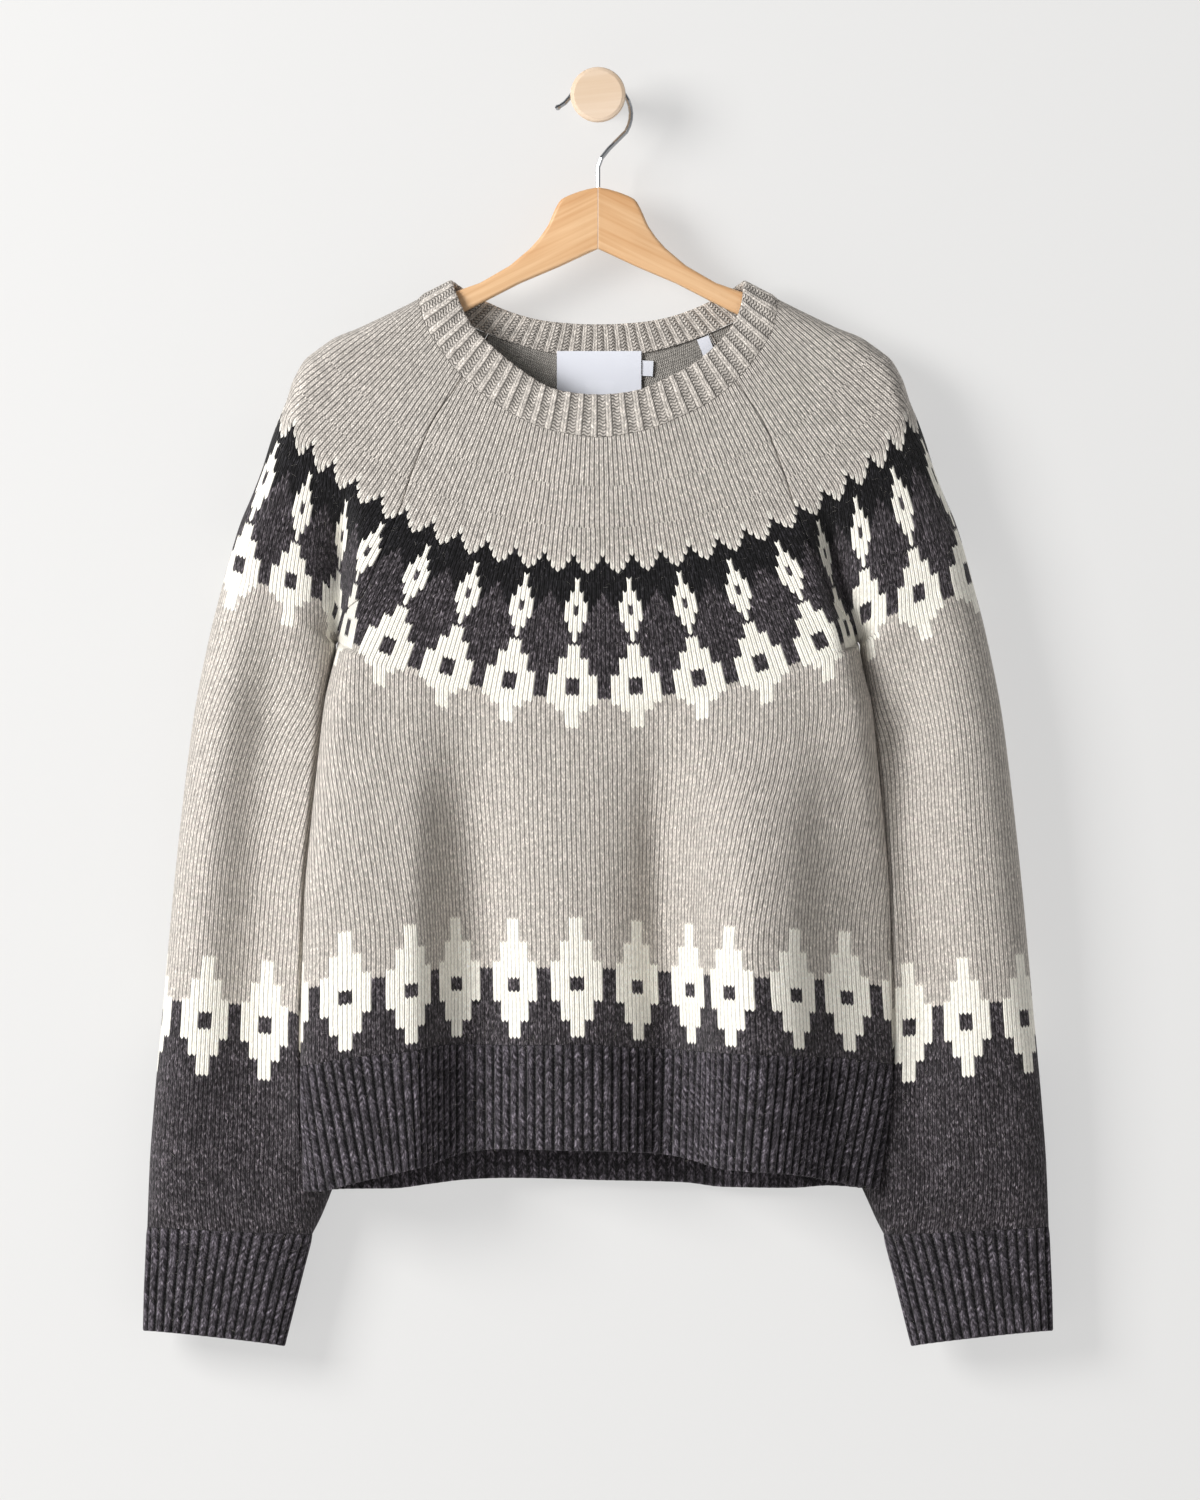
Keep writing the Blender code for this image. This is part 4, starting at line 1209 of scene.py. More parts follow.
    def flecked(
        self,
        tree: Tree,
        values: dict[str, Socket],
        colour: Socket,
    ) -> Socket:
        """Add the heathered flecks, and the painted shade in the lines between the stitches with
        painted light on their crests.

        Args:
            tree: the material's tree.
            values: the sockets so far.
            colour: the yarn's colour.

        Returns:
            The flecked colour's socket.
        """
        work_out(
            tree,
            values,
            [
                ("legs", "MULTIPLY", "across", 2.0),
                ("leg", "FLOOR", "legs"),
                ("fibre_across", "MULTIPLY", "across", self.fibres_a_stitch),
            ],
        )
        fibre = add_node(
            tree,
            "ShaderNodeCombineXYZ",
            inputs={0: values["fibre_across"], 1: values["leaning"]},
        )
        noise = add_node(
            tree,
            "ShaderNodeTexNoise",
            {"noise_dimensions": "2D"},
            {"Vector": fibre.outputs[0], "Scale": 0.9, "Detail": 1.0, "Roughness": 0.7},
        )
        cell = add_node(tree, "ShaderNodeCombineXYZ", inputs={0: values["leg"], 1: values["row"]})
        yarn = add_node(
            tree, "ShaderNodeTexWhiteNoise", {"noise_dimensions": "2D"}, {0: cell.outputs[0]}
        )
        values["noise"], values["yarn"] = noise.outputs[0], yarn.outputs[0]
        work_out(
            tree,
            values,
            [
                ("noise_off", "SUBTRACT", "noise", 0.5),
                ("yarn_off", "SUBTRACT", "yarn", 0.5),
                ("uneven", "MULTIPLY_ADD", "noise_off", self.fibre_contrast, "yarn_off"),
                ("patchy", "MULTIPLY_ADD", "sway_off", self.patch_contrast, "uneven"),
                ("flecks", "MULTIPLY", "patchy", "fleck"),
                # Painted shade and light: the colour darkens where the yarn sinks between stitches
                # and in a rib's grooves, and lightens on the crests.
                ("sunk", "SUBTRACT", "height", 1.0),
                ("shade", "MULTIPLY_ADD", "sunk", "deep", self.painted_crest_light),
                ("lit", "MULTIPLY", "shade", "painted_groove_shade"),
                ("spotted", "EXPONENT", "flecks"),
                ("tone", "MULTIPLY", "lit", "spotted"),
                ("bright", "MAXIMUM", "tone", self.darkest),
            ],
        )
        scale = add_node(
            tree,
            "ShaderNodeVectorMath",
            {"operation": "SCALE"},
            {0: colour, "Scale": values["bright"]},
        )
        return scale.outputs[0]


@dataclass(frozen=True)
class WoodFinish:
    """Planed and oiled wood: straight fine grain that runs along the board, a low satin gloss."""

    name: str
    pale: str
    grain: str
    along: tuple[float, float, float]
    roughness: float = 0.45
    pore_share: float = 0.55
    ring_share: float = 0.6
    grain_from: float = 0.44
    contrast: float = 2.4

    def build(self) -> bpy.types.Material:
        """Make the wood's material, whose grain lies on Object coordinates.

        Returns:
            The material.
        """
        material, tree, shader = new_material(self.name)
        place = add_node(tree, "ShaderNodeTexCoord").outputs["Object"]
        turned = add_node(
            tree, "ShaderNodeMapping", inputs={0: place, "Rotation": self.along}
        ).outputs[0]
        values: dict[str, Socket] = {}
        for name, scale, detail in (
            ("pores", (14.0, 420.0, 420.0), 4.0),
            ("rings", (5.0, 70.0, 70.0), 2.0),
        ):
            drawn = add_node(tree, "ShaderNodeMapping", inputs={0: turned, "Scale": scale})
            inputs = {"Vector": drawn.outputs[0], "Scale": 1.0, "Detail": detail}
            values[name] = add_node(tree, "ShaderNodeTexNoise", inputs=inputs).outputs[0]
        work_out(
            tree,
            values,
            [
                ("pore_part", "MULTIPLY", "pores", self.pore_share),
                ("share", "MULTIPLY_ADD", "rings", self.ring_share, "pore_part"),
                ("sharp", "SUBTRACT", "share", self.grain_from),
                ("mixed", "MULTIPLY", "sharp", self.contrast),
            ],
        )
        colour = mix_colours(
            tree, values["mixed"], hex_colour(self.pale), hex_colour(self.grain)
        )
        tree.links.new(colour, shader.inputs["Base Color"])
        shader.inputs["Roughness"].default_value = self.roughness
        add_bump(tree, shader, 0.12, 0.4 * MM, values["pores"])
        return material


@dataclass(frozen=True)
class PlainFinish:
    """A finish of one colour whose fine surface is a little uneven, such as wire or ribbon."""

    name: str
    colour: str
    roughness: float
    metallic: float = 0.0
    uneven: float = 0.1
    grain_mm: float = 0.4

    def build(self) -> bpy.types.Material:
        """Make the material.

        Returns:
            The material.
        """
        material, tree, shader = new_material(self.name)
        shader.inputs["Base Color"].default_value = hex_colour(self.colour)
        shader.inputs["Roughness"].default_value = self.roughness
        shader.inputs["Metallic"].default_value = self.metallic
        place = add_node(tree, "ShaderNodeTexCoord").outputs["Object"]
        noise = add_node(
            tree,
            "ShaderNodeTexNoise",
            inputs={"Vector": place, "Scale": 1000.0 / self.grain_mm, "Detail": 2.0},
        )
        add_bump(tree, shader, self.uneven, 0.2 * MM, noise.outputs[0])
        return material


GREY = "#C0B9B1"
CHARCOAL = "#3F3B40"


@dataclass
class KnitPiece:
    """One knitted piece: a thin shell over its grid, with its own maps and materials."""

    name: str
    form: KnitForm
    finish: bpy.types.Material
    inside: bpy.types.Material
    slot: str = "pale_grey_wool"
    wall: float = 2.6
    gap: float = 0.3

    @staticmethod
    def faces(rows: int, columns: int, closed: bool) -> tuple[np.ndarray, int]:
        """Number a shell's faces: the outside, the inside, and the rims between them.

        Args:
            rows: the grid's rows.
            columns: its columns.
            closed: whether its last column meets its first.

        Returns:
            The four corners of each face, and how many faces the outside has.
        """
        under = rows * columns
        across = np.arange(columns if closed else columns - 1)
        i, j = np.meshgrid(np.arange(rows - 1) * columns, across, indexing="ij")
        k = (j + 1) % columns
        a, b, c, d = (x.ravel() for x in (i + j, i + columns + j, i + columns + k, i + k))
        sides = [np.column_stack((a, b, c, d)), np.column_stack((a, d, c, b)) + under]
        j, k = across, (across + 1) % columns
        sides.append(np.column_stack((j, k, k + under, j + under)))
        j, k = ((rows - 1) * columns + x for x in (j, k))
        sides.append(np.column_stack((k, j, j + under, k + under)))
        if not closed:
            i = np.arange(rows - 1) * columns
            sides.append(np.column_stack((i + columns, i, i + under, i + columns + under)))
            i = i + columns - 1
            sides.append(np.column_stack((i, i + columns, i + columns + under, i + under)))
        return np.concatenate(sides), len(sides[0])

    def mesh(self, grid: Grid) -> bpy.types.Object:
        """Build the shell and put the object in the scene.

        Args:
            grid: the outer surface.

        Returns:
            The object, at the origin.
        """
        rows, columns = grid.points.shape[:2]
        share = np.ones(rows) if grid.thickness is None else grid.thickness
        half = grid.normals * (self.wall / 2 * share)[:, None, None]
        middle = grid.points - grid.normals * (self.wall / 2)
        outer, inner = middle + half, middle - half
        points = np.concatenate((outer.reshape(-1, 3), inner.reshape(-1, 3))) * MM
        faces, outside = self.faces(rows, columns, grid.closed)
        data = bpy.data.meshes.new(self.name)
        data.from_pydata(points.tolist(), [], faces.tolist())
        inside = np.zeros(len(faces), dtype=np.int32)
        inside[outside : 2 * outside] = 1
        data.polygons.foreach_set("material_index", inside)
        data.materials.append(self.finish)
        data.materials.append(self.inside)
        corners = np.zeros(len(data.loops), dtype=np.int32)
        data.loops.foreach_get("vertex_index", corners)
        flat = corners % (rows * columns)
        for name, along in (("chart", grid.chart), ("rows", grid.rows)):
            uv = np.column_stack([v.reshape(-1)[flat] for v in (grid.repeats, along)])
            if grid.closed:
                self.close_map(uv, grid.repeats)
            data.uv_layers.new(name=name).data.foreach_set("uv", uv.astype(np.float32).ravel())
        data.shade_smooth()
        data.set_sharp_from_angle(angle=math.radians(60))
        return put_in_scene(self.name, data)

    @staticmethod
    def close_map(uv: np.ndarray, repeats: np.ndarray) -> None:
        """Let a closed piece's map run on past its first column, where it comes round again.

        Args:
            uv: the map, four corners to a face, which is changed in place.
            repeats: the grid's repeats.
        """
        columns = repeats.shape[1]
        faces = uv[:, 0].reshape(-1, 4)
        full = float(repeats[0, -1] - repeats[0, 0]) * columns / (columns - 1)
        turned = (faces.max(axis=1) - faces.min(axis=1)) > abs(full) / 2
        block = faces[turned]
        low = block < block.mean(axis=1, keepdims=True)
        block[low] += abs(full)
        faces[turned] = block

    def dress(
        self, obj: bpy.types.Object, flat: tuple[float, float], area: float, rests_on: str
    ) -> None:
        """Tie the piece to the frame, and hide the frame's own piece of its name.

        Args:
            obj: the piece.
            flat: width and length of the cut, in metres; not used.
            area: its flat area in square metres; not used.
            rests_on: what carries it; not used.
        """
        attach(obj, "root")
        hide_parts(self.name)

    def drawn_in(self, grid: Grid) -> None:
        """Draw the open edges in by half a seam's gap.

        Args:
            grid: the piece's grid, which is changed in place.
        """
        for points, normals in (
            (grid.points, grid.normals),
            (grid.points.transpose(1, 0, 2), grid.normals.transpose(1, 0, 2)),
        ):
            if grid.closed and points is not grid.points:
                continue
            for end, inside in ((0, 1), (-1, -2)):
                step = points[inside] - points[end]
                step = step - normals[end] * (step * normals[end]).sum(axis=1)[:, None]
                length = np.maximum(np.linalg.norm(step, axis=1)[:, None], 1e-9)
                points[end] += step / length * self.gap / 2


def seam_steps(count: int) -> np.ndarray:
    """Column places in steps, one beyond each edge and closer together beside the seams."""
    near = np.array((-1.0, 0.0, 0.2, 0.55))
    return np.concatenate((near, np.arange(1, count - 1), count - 1 - near[::-1]))


def sink_seams(points: np.ndarray, level: np.ndarray, depth: float = 1.5) -> np.ndarray:
    """Draw a strip's raglan edges in, as sewing does.

    Args:
        points: the strip's grid, with one column beyond each edge.
        level: for each row, how much of the depth applies.
        depth: how far the edge goes in.

    Returns:
        The moved grid.
    """
    normals = Grid.outward(points, False)
    amount = np.zeros(points.shape[:2])
    for column, share in ((0, 1.0), (1, 1.0), (2, 0.42), (3, 0.1)):
        amount[:, column] = share
        amount[:, -1 - column] = share
    return points - normals * (amount * level[:, None] * depth)[:, :, None]


@dataclass
class Panel(KnitPiece):
    """The front or back panel, from the neck seam to the hem's rib."""

    half: Half = Half.FRONT
    columns: int = 141
    yoke_rows: int = 70
    body_rows: int = 76

    def grid(self) -> Grid:
        """Work out the panel's points and maps.

        Returns:
            The panel's grid, whose rows run down from the neck seam.
        """
        form = self.form
        centre = 1.0 if self.half is Half.FRONT else 3.0
        first, second = (Side.LEFT, Side.RIGHT)
        if self.half is Half.BACK:
            first, second = second, first
        points, repeats, chart, rows = [], [], [], []
        steps = seam_steps(self.columns)
        for level in np.linspace(0, YOKE_END, self.yoke_rows):
            ring = form.yoke_ring(float(level))
            low = form.seam_place(ring, first, self.half, float(level))
            high = form.seam_place(ring, second, self.half, float(level))
            at = low + (high - low) / (self.columns - 1) * steps
            here = place_on(ring, at)
            points.append(here)
            repeats.append(yoke_repeats(form, ring, at))
            radius = np.hypot(here[:, 0], here[:, 2] - form.centre_z)
            chart.append(radius)
            rows.append(radius)
        body = [form.body_ring(float(level)) for level in np.linspace(0, 1, self.body_rows)]
        at = centre - 1 + 2.0 / (self.columns - 1) * steps
        block = np.array([place_on(ring, at) for ring in body])
        length = length_down(block)
        total = length[-1:]
        levels = np.linspace(0, 1, self.body_rows)[:, None]
        across = np.array([body_repeats(ring, at, float(t)) for ring, t in zip(body, levels)])
        down = form.underarm_radius + length
        up = Chart().border_end - (total - length)
        share = smooth(0.05, 0.62, levels)
        middle = float(total[0, len(steps) // 2])
        points += list(block)
        repeats += list(across)
        chart += list(down + (up - down) * share)
        flat = form.underarm_radius + middle - (total - length)
        rows += list(down + (flat - down) * share)
        grid = Grid(*(np.array(x) for x in (points, points, repeats, chart, rows)))
        grid.points = creased(grid.points, self.half)
        below = np.linspace(1, 0, self.body_rows) ** SEAM_FADE
        seam = np.concatenate((np.ones(self.yoke_rows), below))
        grid.points = sink_seams(grid.points, seam)
        grid.normals = Grid.outward(grid.points, False)
        return grid.trimmed()


def past_fold(points: np.ndarray) -> np.ndarray:
    """How far out points lie from the armpit's fold, which is negative on the body."""
    radius = np.hypot(points[:, 0], points[:, 2] - CENTRE_Z)
    left = curve(ARMPIT["radius"], ARMPIT["left"], radius)
    right = curve(ARMPIT["radius"], ARMPIT["right"], radius)
    return np.abs(points[:, 0]) - np.where(points[:, 0] < 0, left, right)


def yoke_rows(form: KnitForm, points: np.ndarray) -> np.ndarray:
    """The pattern's distance from the yoke's centre, which the arms' slope changes a little.

    Args:
        form: the knit's form.
        points: points of the yoke.

    Returns:
        Millimetres along the chart at each point.
    """
    radius = np.hypot(points[:, 0], points[:, 2] - form.centre_z)
    angle = np.degrees(np.arctan2(np.abs(points[:, 0]), form.centre_z - points[:, 2]))
    # The figures on an arm stand a few millimetres lower near the body, and rise outwards.
    left = 7.0 - 2.25 * (angle - 34.7)
    right = 4.2 - 1.5 * (angle - 29.3)
    drift = np.where(points[:, 0] < 0, left, right)
    return radius + drift * smooth(300, 352, radius) * smooth(-4, 14, past_fold(points))


def yoke_repeats(form: KnitForm, ring: Ring, at: np.ndarray) -> np.ndarray:
    """Pattern repeats round a yoke ring, counted from the front's centre line.

    Args:
        form: the knit's form.
        ring: the loop.
        at: places on it, up to 4.99.

    Returns:
        Repeats at the places; they run on past the back's centre.
    """
    places, points = ring
    left_side = points[:, 0] < 0
    radius = np.hypot(points[:, 0], points[:, 2] - form.centre_z)
    angle = np.arctan2(points[:, 0], form.centre_z - points[:, 2])
    middle = (radius[1:] + radius[:-1]) / 2
    turn = np.diff(angle)
    beyond = past_fold(points)
    between = (beyond[1:] + beyond[:-1]) / 2
    edge = np.where(left_side, -angle.min(), angle.max())
    to_edge = (edge - np.abs(angle)) * radius
    flat = smooth(2, 8, (to_edge[1:] + to_edge[:-1]) / 2)
    in_front = (places[1:] > 0) & (places[1:] <= 2)
    # In front of the arm, depth counts little until the last millimetres before the ridge.
    deep = 1 - np.where(in_front, 0.85 * smooth(-20, -6, between) * flat, 0.0)
    step = np.hypot(turn * middle, np.diff(points[:, 1]) * deep) / (middle * REPEAT)
    # The armpit's fold hides a part of a repeat, more of it further down.
    wide = smooth(345, 371, radius)
    last = 5 + np.where(left_side, 11.0, 3.0) * wide
    taken = smooth(-14 - 2 * wide, last, beyond)
    hidden = np.where(left_side, 0.48, 0.44) + 0.0143 * (radius - 306)
    hidden = np.maximum(hidden, 0.0) * smooth(270, 290, radius)
    gained = np.abs(np.diff(hidden * taken))
    step = step + np.where(in_front, gained, 0.0)
    run = np.concatenate(((0.0,), np.cumsum(step)))
    left, front, right, end = (float(np.interp(p, places, run)) for p in (0, 1, 2, 4))
    start = -(front - left)
    values = (start, 0.0, right - front, HALF_ROUND, 2 * HALF_ROUND + start, 2 * HALF_ROUND)
    all_run = np.concatenate((run, run[1:] + end))
    all_places = np.concatenate((places, places[1:] + 4.0))
    out = np.zeros(len(at))
    for quarter in range(5):
        low, high = (float(np.interp(quarter + p, all_places, all_run)) for p in (0, 1))
        inside = (at >= quarter) & (at <= quarter + 1) if quarter < 4 else at >= quarter
        share = (np.interp(at[inside], all_places, all_run) - low) / (high - low)
        out[inside] = values[quarter] + share * (values[quarter + 1] - values[quarter])
    below = at < 0
    out[below] = start + at[below] * (front - left)
    return out - PATTERN_SHIFT


def body_repeats(ring: Ring, at: np.ndarray, level: float) -> np.ndarray:
    """Pattern repeats round a body ring, counted from the front's centre line.

    Args:
        ring: the loop.
        at: places on it.
        level: 0 at the underarm and 1 at the rib's seam, where a repeat is a little wider.

    Returns:
        Repeats at the places; the back's are counted from its own centre.
    """
    places, points = ring
    run = running_length(points)
    width = REPEAT_MM + 0.8 * level
    front, back = (float(np.interp(p, places, run)) for p in (1, 3))
    at = np.asarray(at)
    wrapped = np.interp(at % 4.0, places, run) + np.floor(at / 4.0) * run[-1]
    value = np.where(at > 2.0, (wrapped - back) / width + HALF_ROUND, (wrapped - front) / width)
    x = place_on(ring, at)[:, 0]
    in_front = (at > 0) & (at < 2)
    shift = np.where(in_front, 0.14 * level * smooth(88, 132, x), 0)
    return value - PATTERN_SHIFT - 0.1 * level - shift


CREASES = {
    Half.FRONT: table(
        "x z length width lean depth",
        (-150, -345, 60, 9, 0.9, 1.6),
        (-128, -372, 70, 11, 0.55, 1.1),
        (148, -352, 58, 9, -0.8, 1.5),
        (126, -384, 66, 12, -0.5, 1.0),
        (-20, -300, 70, 22, 0.15, -0.8),
        (70, -330, 80, 20, -0.2, 0.9),
        (-72, -470, 110, 16, 0.04, 1.3),
        (30, -500, 110, 14, 0.03, 1.2),
        (112, -520, 90, 15, -0.05, -1.0),
    ),
    Half.BACK: table(
        "x z length width lean depth",
        (-140, -350, 60, 10, 0.9, 1.4),
        (140, -350, 60, 10, -0.9, 1.4),
        (-50, -470, 100, 18, 0.05, 1.2),
        (60, -520, 100, 18, -0.05, 1.2),
    ),
}


def creased(points: np.ndarray, half: Half) -> np.ndarray:
    """Lay the placed creases and the knit's slight unevenness into a panel.

    Args:
        points: the panel's grid.
        half: front or back, whose table of creases applies.

    Returns:
        The moved grid.
    """
    rows = CREASES[half]
    x, z = points[:, :, 0], points[:, :, 2]
    push = np.zeros_like(x)
    for cx, cz, length, width, lean, depth in zip(*(rows[n] for n in rows)):
        off = (x - cx) - lean * (z - cz)
        push += depth * np.exp(-((off / width) ** 2)) * np.exp(-(((z - cz) / length) ** 2))
    push += 0.25 * np.sin(x / 17.0 + z / 41.0) * np.sin(z / 23.0 + 1.3)
    moved = points.copy()
    moved[:, :, 1] += push if half is Half.FRONT else -push
    return moved


@dataclass
class Sleeve(KnitPiece):
    """A raglan sleeve: a strip over the shoulder that closes into a tube."""

    side: Side = Side.LEFT
    columns: int = 121
    yoke_rows: int = 70
    tube_rows: int = 130
    border_edge: float = 0.5
    border_lift: float = 97.0

    def grid(self) -> Grid:
        """Work out the sleeve's points and maps.

        Returns:
            The sleeve's grid, whose rows run down from the neck seam.
        """
        form = self.form
        right = self.side is Side.RIGHT
        shoulder = 2.0 if right else 4.0
        halves = (Half.FRONT, Half.BACK) if right else (Half.BACK, Half.FRONT)
        steps = seam_steps(self.columns)
        points, repeats, chart, rows = [], [], [], []
        for level in np.linspace(0, YOKE_END, self.yoke_rows):
            ring = form.yoke_ring(float(level))
            low = form.seam_place(ring, self.side, halves[0], float(level))
            high = form.seam_place(ring, self.side, halves[1], float(level))
            high += 0.0 if right else 4.0
            half = (self.columns - 1) / 2
            far = np.where(steps < half, shoulder - low, high - shoulder)
            at = shoulder + (steps - half) / half * far
            here = place_on(ring, at)
            points.append(here)
            repeats.append(yoke_repeats(form, ring, at) - (0.0 if right else 2 * HALF_ROUND))
            chart.append(yoke_rows(form, here))
            rows.append(chart[-1])
        levels = np.linspace(0, 1, self.tube_rows)
        rings = [form.sleeve_ring(self.side, float(t)) for t in levels]
        at = 2.0 / (self.columns - 1) * steps
        block = np.array([place_on(ring, at) for ring in rings])
        length = length_down(block)
        total = length[-1:]
        middle = len(steps) // 2
        outer = repeats[-1][middle]
        border = outer + ((self.border_edge - outer + 0.5) % 1.0 - 0.5)
        share = smooth(0.05, 0.5, levels[:, None])
        across = []
        for ring, t, level in zip(rings, share[:, 0], levels):
            deep = 0.3 + 0.7 * float(smooth(0.0, 0.3, level))
            run = self.weighted_length(ring[1], deep)
            own = np.interp(at % 2.0, ring[0], run) + np.floor(at / 2.0) * run[-1]
            edge = float(np.interp(1.0, ring[0], run))
            around = (own - edge) / (REPEAT_MM - 0.7 * t)
            across.append(around + outer + (border - outer) * t)
        down = chart[-1] + length
        up = Chart().border_end - (total - length) + self.border_lift
        points += list(block)
        repeats += across
        chart += list(down + (up - down) * share)
        flat = form.underarm_radius + float(total[0, middle]) - (total - length)
        rows += list(down + (flat - down) * share)
        grid = Grid(*(np.array(x) for x in (points, points, repeats, chart, rows)))
        below = np.linspace(1, 0, self.tube_rows) ** SEAM_FADE
        seam = np.concatenate((np.ones(self.yoke_rows), below))
        grid.points = sink_seams(grid.points, seam)
        grid.normals = Grid.outward(grid.points, False)
        return grid.trimmed()

    @staticmethod
    def weighted_length(points: np.ndarray, deep: float) -> np.ndarray:
        """Length along a ring that counts depth less near the sleeve's outer edge.

        Args:
            points: the ring's points.
            deep: how much depth counts there; in the last millimetres it counts in full.

        Returns:
            The length at each point, from 0 at the first.
        """
        step = np.diff(points, axis=0)
        x = np.abs(points[1:, 0] + points[:-1, 0]) / 2
        flat = smooth(x.max() - 55, x.max() - 35, x) * (1 - smooth(x.max() - 8, x.max() - 2, x))
        step[:, 1] *= 1 - (1 - deep) * flat
        return np.concatenate(((0.0,), np.cumsum(np.linalg.norm(step, axis=1))))


@dataclass
class Rib(KnitPiece):
    """A band of two-by-two rib: the neckband, a cuff, or half of the hem."""

    pitch: float = 6.5
    relief: float = 2.3
    fullness: float = 0.45
    points_a_rib: int = 8
    rows: int = 14
    start: float = 0.0
    end: float = 2.0
    closed: bool = False
    ring: Callable[[float], Ring] = field(default=lambda level: None)
    levels: tuple[float, float] = (2.0, 1.0)
    height: float = 80.0
    proud: float = 0.0
    left_lean: float = 0.0
    right_lean: float = 0.0

    def grid(self) -> Grid:
        """Work out the band's points and maps, with its ribs raised on the outside.

        Returns:
            The band's grid, whose rows run down from the upper edge.
        """
        edge = np.array((0.0, 0.25, 0.7, 1.4, 2.4)) / self.height
        share = np.concatenate((edge, np.linspace(4.5 / self.height, 1, self.rows)))
        if self.levels[0] > self.levels[1]:
            share = share[::-1]
        levels = self.levels[0] + (self.levels[1] - self.levels[0]) * share
        rings = [self.ring(float(t)) for t in levels]
        middle = place_on(
            rings[len(rings) // 2], np.linspace(self.start, self.end, 800, endpoint=False)
        )
        ribs = round(float(running_length(middle)[-1]) / self.pitch)
        count = ribs * self.points_a_rib
        if self.closed:
            at = np.linspace(self.start, self.end, count, endpoint=False)
            number = np.arange(count) / self.points_a_rib
        else:
            step = (self.end - self.start) / count
            at = np.linspace(self.start - step, self.end + step, count + 3)
            number = (np.arange(count + 3) - 1) / self.points_a_rib
        lean = self.lean(at)
        points = np.array([place_on(ring, at + lean * (1 - f)) for ring, f in zip(rings, share)])
        normals = Grid.outward(points, self.closed)
        wave = 0.5 + 0.5 * np.cos(2 * math.pi * number)
        raised = self.relief * (wave**self.fullness - 0.6)
        length = length_down(points)
        repeats = np.broadcast_to(number, length.shape)
        to_seam = smooth(0.0, 6.0, (1 - share) * self.height)[:, None]
        lift = raised[None, :] * (0.3 + 0.7 * to_seam) + self.proud * to_seam
        outer = points + normals * lift[:, :, None]
        near = np.clip(share * self.height / (0.55 * self.wall), 0, 1)
        round_edge = np.maximum(np.sqrt(1 - (1 - near) ** 2), 0.12)
        down = length[-1:] - length if self.levels[0] > self.levels[1] else length
        grid = Grid(outer, normals, repeats, np.zeros_like(length), down, self.closed, round_edge)
        return grid if self.closed else grid.trimmed()

    def lean(self, at: np.ndarray) -> np.ndarray:
        """Work out how far the ribs' lower ends stand in from the sides.

        Args:
            at: the columns' places on the ring.

        Returns:
            For each column, its shift in places.
        """
        span = 220.0  # millimetres to a place
        from_left = (at - self.start) * span
        from_right = (self.end - at) * span
        total = np.zeros_like(at)
        for far, amount in ((from_left, self.left_lean), (from_right, -self.right_lean)):
            total += amount * smooth(0, 16, far) * (1 - smooth(40, 120, far))
        return total / span


